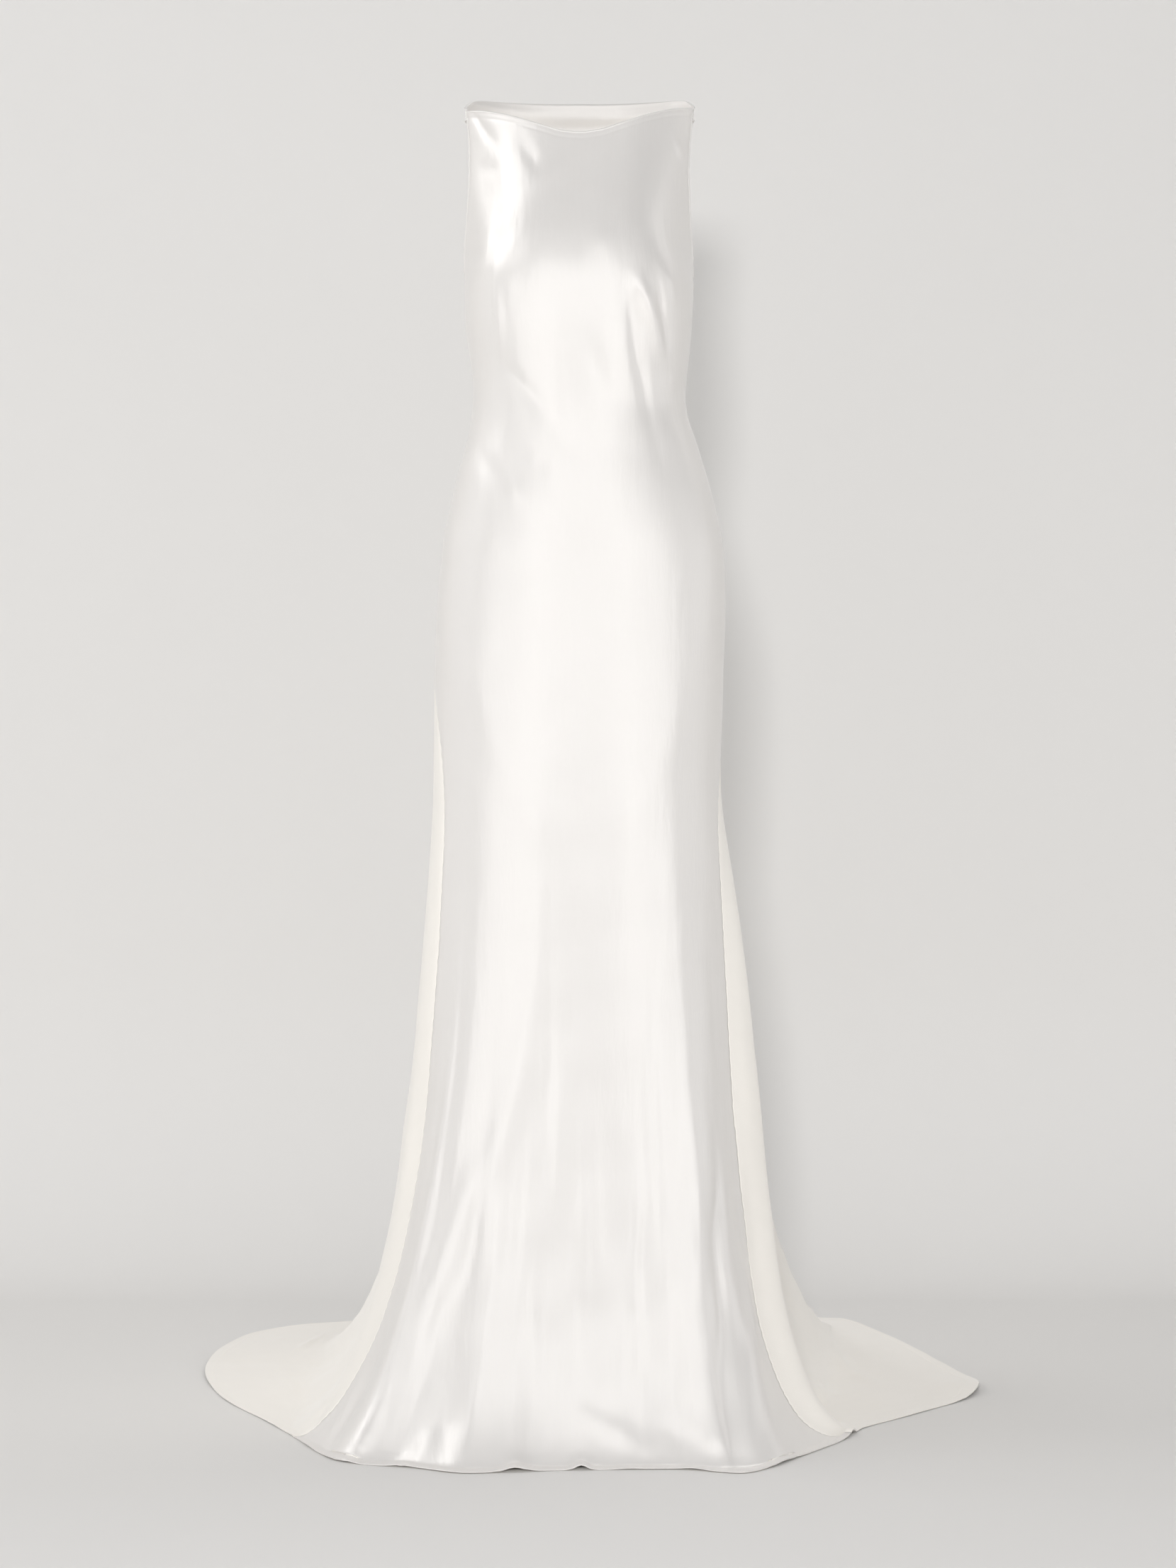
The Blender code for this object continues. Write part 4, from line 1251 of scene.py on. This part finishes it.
@dataclass
class Shell:
    """A thin closed piece of cloth made from the grid of its outer face.

    Args:
        name: the object's name.
        grid: its outer face.
        outside: the material of the outer face.
        inside: the material of the inner face.
        thickness: of the cloth.
        turned: width of the turned-in edge at the top and at the hem.
        turned_extra: how much thicker the turned-in edge is, as a share.
        fold_line: how far the edge of the turned-in cloth tapers.
        stitch_dip: how deep the line of stitches under the top edge lies.
        seam_gap: width of the gap at a seam.
        seam_dip: how far the cloth is drawn in there.
        seam_reach: how far that reaches over the cloth.
        pucker: height of the small waves along a seam.
        pucker_pitch: their turns for each metre.
        pucker_reach: how far they reach over the cloth.
    """

    name: str
    grid: PanelGrid
    outside: bpy.types.Material
    inside: bpy.types.Material
    thickness: float = 0.0012
    turned: tuple[float, float] = (0.007, 0.012)
    turned_extra: float = 0.7
    fold_line: float = 0.0012
    stitch_dip: float = 0.0003
    seam_gap: float = 0.0003
    seam_dip: float = 0.0009
    seam_reach: float = 0.0045
    pucker: float = 0.0004
    pucker_pitch: float = 420.0
    pucker_reach: float = 0.008

    def build(self) -> bpy.types.Object:
        """Makes the outer face, the inner face, and the edge between them.

        Returns:
            The object, at the origin.
        """
        outer, normal = self.seamed()
        inner = outer - normal * self._depth()[..., None]
        lying = outer[..., 2] < FLOOR_Z + self.thickness * 3
        flat = np.maximum(outer[..., 2] - self.thickness, FLOOR_Z)
        inner[..., 2] = np.where(lying, flat, np.maximum(inner[..., 2], FLOOR_Z))
        points = np.concatenate([outer.reshape(-1, 3), inner.reshape(-1, 3)])
        faces, on_inside = self._faces(*outer.shape[:2])
        mesh = mesh_of(self.name, points, faces)
        mesh.materials.append(self.outside)
        mesh.materials.append(self.inside)
        mesh.polygons.foreach_set("material_index", on_inside.astype(np.int32))
        self._unwrap(mesh, outer)
        return linked(self.name, mesh)

    @staticmethod
    def _faces(rows: int, across: int) -> tuple[np.ndarray, np.ndarray]:
        """The faces of the closed shell.

        Args:
            rows: rows of the grid.
            across: its columns.

        Returns:
            Four corners for each face, and which faces lie on the inside.
        """
        count = rows * across
        index = np.arange(count).reshape(rows, across)
        a, b = index[:-1, :-1].ravel(), index[1:, :-1].ravel()
        c, d = index[1:, 1:].ravel(), index[:-1, 1:].ravel()
        outside = np.stack([a, b, c, d], axis=1)
        inside = np.stack([a, d, c, b], axis=1) + count
        rim = np.concatenate([
            index[0, :-1], index[:-1, -1], index[-1, :0:-1], index[:0:-1, 0],
        ])
        after = np.roll(rim, -1)
        edge = np.stack([rim, after, after + count, rim + count], axis=1)
        choice = np.repeat([0, 1, 0], [len(outside), len(inside), len(edge)])
        return np.concatenate([outside, inside, edge]), choice

    def seamed(self) -> tuple[np.ndarray, np.ndarray]:
        """The outer face drawn in at its side edges.

        Returns:
            Its points and its normals.
        """
        points, normal = self.grid.points, self.grid.normal
        before = run_along(points, 1)
        from_edge = np.minimum(before, before[:, -1:] - before)
        dip = self.seam_dip * bell(from_edge, 0, self.seam_reach)
        waves = np.sin(self.grid.place * self.pucker_pitch)
        pucker = self.pucker * waves * bell(from_edge, 0, self.pucker_reach)
        from_top = self.grid.place - self.grid.place[:1]
        stitched = self.stitch_dip * bell(from_top, self.turned[0], self.fold_line)
        lying = self.grid.place > FLOOR_PLACE
        result = points + normal * (np.where(lying, 0, pucker) - dip - stitched)[..., None]
        result[..., 2] = np.maximum(result[..., 2], FLOOR_Z + self.thickness)
        for edge, inside in ((0, 1), (-1, -2)):
            way = unit(result[:, inside] - result[:, edge])
            result[:, edge] += way * self.seam_gap / 2
        return result, normal

    def _depth(self) -> np.ndarray:
        """Thickness of the cloth, which is greater where the edges are turned in.

        Returns:
            One thickness for each point, in metres.
        """
        place = self.grid.place
        top = 1 - ramp(place - place[:1], self.turned[0], self.fold_line)
        hem = 1 - ramp(place[-1:] - place, self.turned[1], self.fold_line)
        return self.thickness * (1 + np.maximum(top, hem) * self.turned_extra)

    @staticmethod
    def _unwrap(mesh: bpy.types.Mesh, outer: np.ndarray) -> None:
        """Gives the mesh a UV map in metres along the cloth.

        Args:
            mesh: the mesh of the shell.
            outer: the grid of its outer face.
        """
        u, v = run_along(outer, 1), run_along(outer, 0)
        middle = (outer.shape[1] - 1) // 2
        u = u - u[:, middle : middle + 1]
        flat = np.stack([u.ravel(), -v.ravel()], axis=1)
        both = np.concatenate([flat, flat])
        loops = np.empty(len(mesh.loops), dtype=np.int32)
        mesh.loops.foreach_get("vertex_index", loops)
        layer = mesh.uv_layers.new(name="cloth")
        layer.data.foreach_set("uv", both[loops].ravel())

    def middle(self) -> np.ndarray:
        """The grid halfway through the cloth."""
        outer, normal = self.seamed()
        return outer - normal * self._depth()[..., None] / 2

    def hem(self, inset: float) -> np.ndarray:
        """Points along the hem, without its ends.

        Args:
            inset: how far in from the edge they lie.

        Returns:
            The points, from one side to the other.
        """
        outer, _ = self.seamed()
        from_hem = self.grid.place[-1] - self.grid.place
        row = np.argmin(np.abs(from_hem - inset), axis=0)
        return outer[row, np.arange(outer.shape[1])][2:-2]


def mesh_of(name: str, points: np.ndarray, faces: np.ndarray) -> bpy.types.Mesh:
    """A smooth-shaded mesh of four-sided faces.

    Args:
        name: its name.
        points: its corners.
        faces: four corners for each face.

    Returns:
        The mesh.
    """
    mesh = bpy.data.meshes.new(name)
    mesh.vertices.add(len(points))
    mesh.vertices.foreach_set("co", points.astype(np.float32).ravel())
    mesh.loops.add(faces.size)
    mesh.loops.foreach_set("vertex_index", faces.astype(np.int32).ravel())
    mesh.polygons.add(len(faces))
    mesh.polygons.foreach_set("loop_start", np.arange(0, faces.size, 4, dtype=np.int32))
    mesh.polygons.foreach_set("use_smooth", np.ones(len(faces), dtype=bool))
    mesh.update(calc_edges=True)
    mesh.validate()
    return mesh


def linked(name: str, data: bpy.types.ID) -> bpy.types.Object:
    """A new object of a mesh, light or camera, in the scene.

    Args:
        name: the object's name.
        data: what it shows.

    Returns:
        The object, at the origin.
    """
    piece = bpy.data.objects.new(name, data)
    bpy.context.scene.collection.objects.link(piece)
    return piece


def panel_rows(count: int, length: float) -> np.ndarray:
    """Rows of a panel, closer together at both edges.

    Args:
        count: how many there are.
        length: of the panel, in metres.

    Returns:
        Their places, as shares of the length.
    """
    top = np.array(TOP_ROWS) / length
    hem = 1 - np.array(HEM_ROWS) / length
    middle = np.linspace(top[-1], hem[0], count - len(top) - len(hem) + 2)
    return np.concatenate([top[:-1], middle, hem[1:]])


class PathTree(NodeBuilder):
    """A geometry node tree that turns a path into a plain mesh."""

    def __init__(self, name: str, material: bpy.types.Material) -> None:
        """Starts the tree with its path input and its realised, coloured output.

        Args:
            name: the tree's name.
            material: of what it makes.
        """
        super().__init__(bpy.data.node_groups.new(name, "GeometryNodeTree"))
        self._socket("Path", "NodeSocketGeometry")
        self.tree.interface.new_socket("Cloth", in_out="OUTPUT", socket_type="NodeSocketGeometry")
        self.source = self.add("NodeGroupInput", {})
        self.realise = self.add("GeometryNodeRealizeInstances", {})
        made = {"Geometry": self.realise.outputs[0], "Material": material}
        paint = self.add("GeometryNodeSetMaterial", made)
        self.add("NodeGroupOutput", {0: paint.outputs[0]})
        self.values: dict[str, float] = {}

    def _socket(self, name: str, kind: str) -> None:
        """Adds an input to the tree's interface."""
        self.tree.interface.new_socket(name, in_out="INPUT", socket_type=kind)

    def size(self, name: str, value: float) -> Socket:
        """A named input for a size.

        Args:
            name: the input's name.
            value: the size, a whole number for a count.

        Returns:
            The socket that carries it.
        """
        whole = isinstance(value, int)
        self._socket(name, "NodeSocketInt" if whole else "NodeSocketFloat")
        self.values[name] = value
        return self.source.outputs[name]

    def path(self) -> Socket:
        """The path as a curve."""
        return self.add("GeometryNodeMeshToCurve", {"Mesh": self.source.outputs["Path"]}).outputs[0]

    def run(self, name: str, points: np.ndarray) -> bpy.types.Object:
        """The plain mesh that the tree makes along the points.

        Args:
            name: the new object's name.
            points: the path.

        Returns:
            The object, at the origin.
        """
        mesh = bpy.data.meshes.new(name + "_path")
        edges = [(i, i + 1) for i in range(len(points) - 1)]
        mesh.from_pydata([tuple(point) for point in points], edges, [])
        holder = linked(name + "_path", mesh)
        modifier = holder.modifiers.new("tree", "NODES")
        modifier.node_group = self.tree
        for item in self.tree.interface.items_tree:
            if item.in_out == "INPUT" and item.name in self.values:
                modifier[item.identifier] = self.values[item.name]
        graph = bpy.context.evaluated_depsgraph_get()
        made = bpy.data.meshes.new_from_object(holder.evaluated_get(graph))
        made.name = name
        holder.modifiers.remove(modifier)
        bpy.data.objects.remove(holder)
        bpy.data.meshes.remove(mesh)
        return linked(name, made)


def rim_tree(name: str, material: bpy.types.Material) -> PathTree:
    """The tree of a rolled rim: a round tube along the path.

    Args:
        name: the tree's name.
        material: of the rim.

    Returns:
        The tree.
    """
    tree = PathTree(name, material)
    ring = tree.add("GeometryNodeCurvePrimitiveCircle", {
        "Resolution": tree.size("Sides", 8),
        "Radius": tree.size("Radius", 0.0015),
    })
    tube = tree.add("GeometryNodeCurveToMesh", {
        "Curve": tree.path(),
        "Profile Curve": ring.outputs[0],
        "Fill Caps": True,
    })
    smooth = tree.add("GeometryNodeSetShadeSmooth", {"Geometry": tube.outputs[0]})
    tree.fill(tree.realise, {0: smooth.outputs[0]})
    return tree


def stitch_tree(name: str, material: bpy.types.Material) -> PathTree:
    """The tree of a row of stitches: short round threads at even steps along the path.

    Args:
        name: the tree's name.
        material: of the thread.

    Returns:
        The tree.
    """
    tree = PathTree(name, material)
    step = tree.add("GeometryNodeCurveToPoints", {"Curve": tree.path()})
    step.mode = "LENGTH"
    tree.fill(step, {"Length": tree.size("Step", 0.0036)})
    thread = tree.add("GeometryNodeMeshCylinder", {
        "Radius": tree.size("Radius", 0.00022),
        "Depth": tree.size("Length", 0.0022),
        "Vertices": tree.size("Sides", 6),
    })
    turn = tree.add("FunctionNodeAlignRotationToVector", {"Vector": step.outputs["Tangent"]})
    turn.axis = "Z"
    copies = tree.add("GeometryNodeInstanceOnPoints", {
        "Points": step.outputs["Points"],
        "Instance": thread.outputs["Mesh"],
        "Rotation": turn.outputs["Rotation"],
    })
    tree.fill(tree.realise, {0: copies.outputs[0]})
    return tree


def dressed(piece: bpy.types.Object, node: str) -> bpy.types.Object:
    """The piece carried by the root, in place of a CAD node.

    Args:
        piece: the piece.
        node: the node that it replaces.

    Returns:
        The same piece.
    """
    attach(piece, "root")
    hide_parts(node)
    return piece


@dataclass
class Panels:
    """The front panel and the two back panels."""

    surface: GownSurface
    satin: bpy.types.Material
    crepe: bpy.types.Material
    rows: int = 318
    back_start: float = 0.3
    front_flat: tuple[float, float] = (0.72, 1.66)
    back_flat: tuple[float, float] = (1.0, 1.75)
    stitch_inset: float = 0.010
    # Top edges: station and height.
    neckline_soft: float = 0.02
    neckline: tuple = (
        (-1.00, 0.0020),
        (-0.84, -0.0040),
        (-0.60, -0.0150),
        (-0.36, -0.0270),
        (-0.12, -0.0365),
        (0.00, -0.0375),
        (0.18, -0.0345),
        (0.36, -0.0260),
        (0.60, -0.0130),
        (0.84, -0.0010),
        (1.00, 0.0050),
    )
    scoop_soft: float = 0.01
    scoop: tuple = (
        (1.00, -0.192),
        (1.10, -0.215),
        (1.25, -0.262),
        (1.45, -0.330),
        (1.70, -0.395),
        (1.90, -0.420),
        (2.00, -0.424),
    )

    def front(self) -> None:
        """The satin front, from the neckline and armholes to the front hem."""
        top = edge_curve(self.neckline, self.neckline_soft)
        grid = self.surface.panel(-1, 1, top, panel_rows(self.rows, CLOTH_LENGTH))
        shell = Shell("satin_front", grid, self.satin, self.crepe)
        piece = dressed(shell.build(), "front_panel")
        middle = shell.middle()
        open_rows = int(np.searchsorted(-middle[:, 0, 2], -self.scoop[0][1]))
        rim = rim_tree("satin_rim", self.satin)
        thread = stitch_tree("hem_thread", self.satin)
        self._hang(piece, shell, "front_satin", self.front_flat, [
            rim.run("neckline_rim", middle[0]),
            rim.run("armhole_rim_left", middle[:open_rows, 0]),
            rim.run("armhole_rim_right", middle[:open_rows, -1]),
            thread.run("front_hem_stitches", shell.hem(self.stitch_inset)),
        ])

    def back(self, side: Side) -> None:
        """One crepe back panel with its half of the train.

        Args:
            side: which one.
        """
        word = side.name.lower()
        top = edge_curve(self.scoop, self.scoop_soft, mirrored=side is Side.LEFT)
        first, last = sorted((side.value, 2 * side.value))
        rows = panel_rows(self.rows, CLOTH_LENGTH - self.back_start)
        grid = self.surface.panel(first, last, top, rows)
        shell = Shell(f"crepe_back_{word}", grid, self.crepe, self.satin)
        piece = dressed(shell.build(), f"back_panel_{word}")
        rim = rim_tree(f"crepe_rim_{word}", self.crepe)
        thread = stitch_tree(f"hem_thread_{word}", self.crepe)
        self._hang(piece, shell, f"{word}_crepe", self.back_flat, [
            rim.run(f"scoop_rim_{word}", shell.middle()[0]),
            thread.run(f"back_hem_stitches_{word}", shell.hem(self.stitch_inset)),
        ])

    @staticmethod
    def _hang(
        piece: bpy.types.Object,
        shell: Shell,
        slot: str,
        flat: tuple[float, float],
        trims: list[bpy.types.Object],
    ) -> None:
        """Attaches a panel's rims and stitches to the root.

        Args:
            piece: the panel; not used.
            shell: the shell that it was made from; not used.
            slot: not used.
            flat: size of the sheet that it is cut from; not used.
            trims: the rims and stitches.
        """
        for trim in trims:
            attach(trim, "root")


@dataclass
class NeckBand:
    """The soft satin band behind the neck, from shoulder tip to shoulder tip."""

    surface: GownSurface
    outside: bpy.types.Material
    inside: bpy.types.Material
    flat: tuple[float, float] = (0.36, 0.080)
    across: int = 161
    deep: int = 34
    end_depth: float = 0.012
    back_depth: float = 0.076
    roll: float = -0.002
    swell_power: float = 1.2
    level: float = 0.020
    thickness: float = 0.0018
    turned: float = 0.004
    # Top edge: share of the way from a shoulder tip to the centre back, and height.
    top_soft: float = 0.03
    top: tuple = ((0.00, 0.0030), (0.12, 0.0110), (0.27, 0.0195), (0.50, 0.0225), (1.00, 0.0246))
    # Folds along the band: share of its depth, half width, height and slope.
    folds: tuple = (
        (0.20, 0.10, 0.0007, 0.10),
        (0.36, 0.08, -0.0006, -0.12),
        (0.55, 0.12, 0.0006, 0.08),
        (0.78, 0.10, -0.0005, -0.05),
    )
    least_fold: float = 0.35
    gathered: float = 0.06
    tuck: float = 0.0020

    def build(self) -> None:
        """The band, with soft folds along it that gather at its ends."""
        turn = np.linspace(0, 2, self.across)
        near = np.minimum(turn, 2 - turn)
        swell = np.sin(near * math.pi / 2)
        down = np.linspace(0, 1, self.deep)
        points = self._form(turn, near, swell, down)
        fold = np.zeros(points.shape[:2])
        for middle, wide, tall, slope in self.folds:
            centre = middle + slope * (turn[None, :] - 1)
            fold += tall * bell(down[:, None], centre, wide)
        fold *= self.least_fold + (1 - self.least_fold) * swell[None, :]
        fold *= ramp(near, 0, self.gathered)[None, :]
        points = points + grid_normals(points) * fold[..., None]
        place = np.broadcast_to(down[:, None] * self.back_depth, fold.shape)
        shell = Shell(
            "neck_band_satin", PanelGrid(points, grid_normals(points), place),
            self.outside, self.inside, thickness=self.thickness,
            turned=(self.turned, self.turned), seam_gap=0.0, seam_dip=0.0,
        )
        piece = dressed(shell.build(), "back_neck_band")

    def _form(
        self, turn: np.ndarray, near: np.ndarray, swell: np.ndarray, down: np.ndarray
    ) -> np.ndarray:
        """The band's smooth form, which follows the body and is tucked in at its ends.

        Args:
            turn: how far round each column lies, from 0 to 2.
            near: how far each column lies from the nearer end.
            swell: how full the band is there.
            down: how far down the band each row lies.

        Returns:
            A grid of points.
        """
        side = np.where(turn < 1, -1, 1)
        depth = self.end_depth + (self.back_depth - self.end_depth) * swell**self.swell_power
        top = edge_curve(self.top, self.top_soft)(near)
        z = top[None, :] - depth[None, :] * down[:, None]
        reach = np.broadcast_to(side * (1 + near), z.shape).copy()
        points = self.surface.body(reach, np.clip(z, -self.level, self.level))
        points[..., 2] = z
        points[..., 1] += self.roll * swell[None, :] * (1 - 2 * down[:, None])
        ends = self.tuck * (1 - ramp(near, 0, self.gathered))
        points[..., 0] -= (side * ends)[None, :]
        points[..., 1] += ends[None, :]
        return points


@dataclass(frozen=True)
class AreaLight:
    """A soft rectangular light.

    Args:
        name: the light's name.
        place: where it stands.
        size: its width and height.
        power: in watts.
        aim: the point that it faces.
        sheen: whether it shows in the cloth's sheen, or only lights it.
    """

    name: str
    place: Triple
    size: tuple[float, float]
    power: float
    aim: Triple = (0.0, 0.0, -0.75)
    sheen: bool = True

    def build(self) -> None:
        """Adds the light to the scene."""
        data = bpy.data.lights.new(self.name, "AREA")
        data.shape = "RECTANGLE"
        data.size, data.size_y = self.size
        data.energy = self.power
        lamp = linked(self.name, data)
        lamp.location = self.place
        way = Vector(self.aim) - Vector(self.place)
        lamp.rotation_euler = way.to_track_quat("-Z", "Y").to_euler()
        lamp.visible_camera = False
        lamp.visible_glossy = self.sheen


@dataclass
class Studio:
    """Camera, lights, floor and backdrop."""

    lights: tuple[AreaLight, ...] = (
        AreaLight("key", (-0.18, -4.3, -0.22), (0.26, 0.26), 72.0, sheen=False),
        AreaLight("fill", (0.2, -2.4, 2.3), (1.6, 1.6), 8.0, sheen=False),
        AreaLight("left_fill", (-3.2, -2.6, 0.4), (0.8, 0.8), 3.0, sheen=False),
        AreaLight("front", (-0.05, -4.2, 0.20), (3.8, 1.7), 23.0),
        AreaLight("front_left", (-2.9, -3.4, -0.55), (3.4, 1.25), 16.5),
        AreaLight("front_right", (2.9, -3.4, -0.55), (3.4, 1.25), 20.0),
        AreaLight("upper_left", (-3.7, -2.8, 1.9), (2.0, 1.6), 10.0),
        AreaLight("upper_right", (2.5, -3.9, 1.5), (2.5, 1.8), 4.0),
        AreaLight("left_high", (-3.9, -0.4, 1.9), (2.0, 2.0), 26.0),
        AreaLight("left_side", (-4.3, 0.0, -0.2), (2.9, 1.8), 8.0),
        AreaLight("left_rim", (-2.9, 2.0, 1.6), (2.4, 1.9), 45.0),
        AreaLight("right_side", (4.3, 0.0, -0.2), (2.9, 1.8), 10.0),
        AreaLight("right_rim", (2.9, 2.0, 1.6), (2.4, 1.9), 22.0),
        AreaLight("overhead", (0.8, 0.9, 3.2), (1.8, 1.6), 20.0, aim=(0.3, 0.5, -1.5)),
    )
    sensor_height: float = 36.0
    paper: Triple = (0.825, 0.813, 0.796)
    paper_roughness: float = 0.95
    paper_specular: float = 0.1
    floor_half: float = 9.0
    backdrop_half: float = 7.0
    backdrop_y: float = 1.35
    backdrop_top: float = 3.5
    backdrop_lift: float = 0.0005
    bend: float = 0.45
    bend_steps: int = 24
    world_light_colour: Triple = (0.98, 0.985, 1.0)
    world_light: float = 0.205
    world_seen_colour: Triple = (1.0, 0.985, 0.97)
    world_seen: float = 0.68

    def build(self) -> None:
        """Sets up everything that isn't the gown."""
        self._camera()
        self._world()
        for light in self.lights:
            light.build()
        self._floor()
        self._backdrop()
        scene = bpy.context.scene
        scene.view_settings.view_transform = "Standard"
        scene.view_settings.look = "None"

    def _camera(self) -> None:
        """The camera at the photograph's viewing angle."""
        data = bpy.data.cameras.new("camera")
        data.sensor_fit = "VERTICAL"
        data.sensor_height = self.sensor_height
        data.lens = LENS_PIXELS / PICTURE_HEIGHT * self.sensor_height
        camera = linked("camera", data)
        camera.location = CAMERA_PLACE
        camera.rotation_euler = (math.pi / 2, 0.0, 0.0)
        bpy.context.scene.camera = camera

    def _world(self) -> None:
        """Even light from all round, and a pale tone where the view runs past the floor."""
        world = bpy.data.worlds.new("studio")
        world.use_nodes = True
        nodes = NodeBuilder(world.node_tree)
        light = nodes.fill(world.node_tree.nodes["Background"], {
            "Color": (*self.world_light_colour, 1.0),
            "Strength": self.world_light,
        })
        seen = nodes.add("ShaderNodeBackground", {
            "Color": (*self.world_seen_colour, 1.0),
            "Strength": self.world_seen,
        })
        path = nodes.add("ShaderNodeLightPath", {})
        choice = nodes.add("ShaderNodeMixShader", {
            "Fac": path.outputs["Is Camera Ray"],
            1: light.outputs["Background"],
            2: seen.outputs["Background"],
        })
        output = world.node_tree.nodes["World Output"]
        nodes.fill(output, {"Surface": choice.outputs["Shader"]})
        bpy.context.scene.world = world

    def _paper(self, name: str, one_sided: bool) -> bpy.types.Material:
        """Matt studio paper.

        Args:
            name: the material's name.
            one_sided: whether it is clear from behind.

        Returns:
            The material.
        """
        nodes = MaterialNodes(name)
        nodes.fill(nodes.shader, {
            "Base Color": (*self.paper, 1.0),
            "Roughness": self.paper_roughness,
            "Specular IOR Level": self.paper_specular,
        })
        if one_sided:
            geometry = nodes.add("ShaderNodeNewGeometry", {})
            clear = nodes.add("ShaderNodeBsdfTransparent", {})
            choice = nodes.add("ShaderNodeMixShader", {
                "Fac": geometry.outputs["Backfacing"],
                1: nodes.shader.outputs["BSDF"],
                2: clear.outputs["BSDF"],
            })
            output = nodes.tree.nodes["Material Output"]
            nodes.fill(output, {"Surface": choice.outputs["Shader"]})
        return nodes.material

    def _floor(self) -> None:
        """A wide plain floor."""
        corners = np.array([(-1, -1), (1, -1), (1, 1), (-1, 1)]) * self.floor_half
        points = np.column_stack([corners, np.full(4, FLOOR_Z)])
        mesh = mesh_of("studio_floor", points, np.array([[0, 1, 2, 3]]))
        mesh.materials.append(self._paper("floor_paper", False))
        linked("studio_floor", mesh)

    def _backdrop(self) -> None:
        """Paper that rises from the floor behind the train, and is clear from behind."""
        turn = np.linspace(0, math.pi / 2, self.bend_steps)
        bend_y = self.backdrop_y - self.bend + self.bend * np.sin(turn)
        bend_z = FLOOR_Z + self.backdrop_lift + self.bend * (1 - np.cos(turn))
        profile = np.concatenate([
            np.stack([bend_y, bend_z], axis=1), [[self.backdrop_y, self.backdrop_top]],
        ])
        count = len(profile)
        left = np.column_stack([np.full(count, -self.backdrop_half), profile])
        right = np.column_stack([np.full(count, self.backdrop_half), profile])
        index = np.arange(count - 1)
        faces = np.stack([index, index + count, index + count + 1, index + 1], axis=1)
        mesh = mesh_of("studio_backdrop", np.concatenate([left, right]), faces)
        mesh.materials.append(self._paper("backdrop_paper", True))
        linked("studio_backdrop", mesh)


def main() -> None:
    """Builds the gown and the studio round it."""
    logging.basicConfig(level=logging.INFO, format="%(name)s: %(message)s")
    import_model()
    surface = GownSurface()
    satin = SatinFinish().build()
    crepe = CrepeFinish().build()
    panels = Panels(surface, satin, crepe)
    panels.front()
    for side in Side:
        panels.back(side)
    # The band's inner face is a lighter, less glossy copy of the ivory satin. This is painted light:
    # the colour is brighter than the cloth's own, so the inside of the band looks lit.
    band_inside_painted_lighter = SatinFinish("ivory_satin_band_painted_lighter", (0.93, 0.91, 0.885), metallic=0.12).build()
    NeckBand(surface, satin, band_inside_painted_lighter).build()
    Studio().build()


if __name__ == "__main__":
    main()
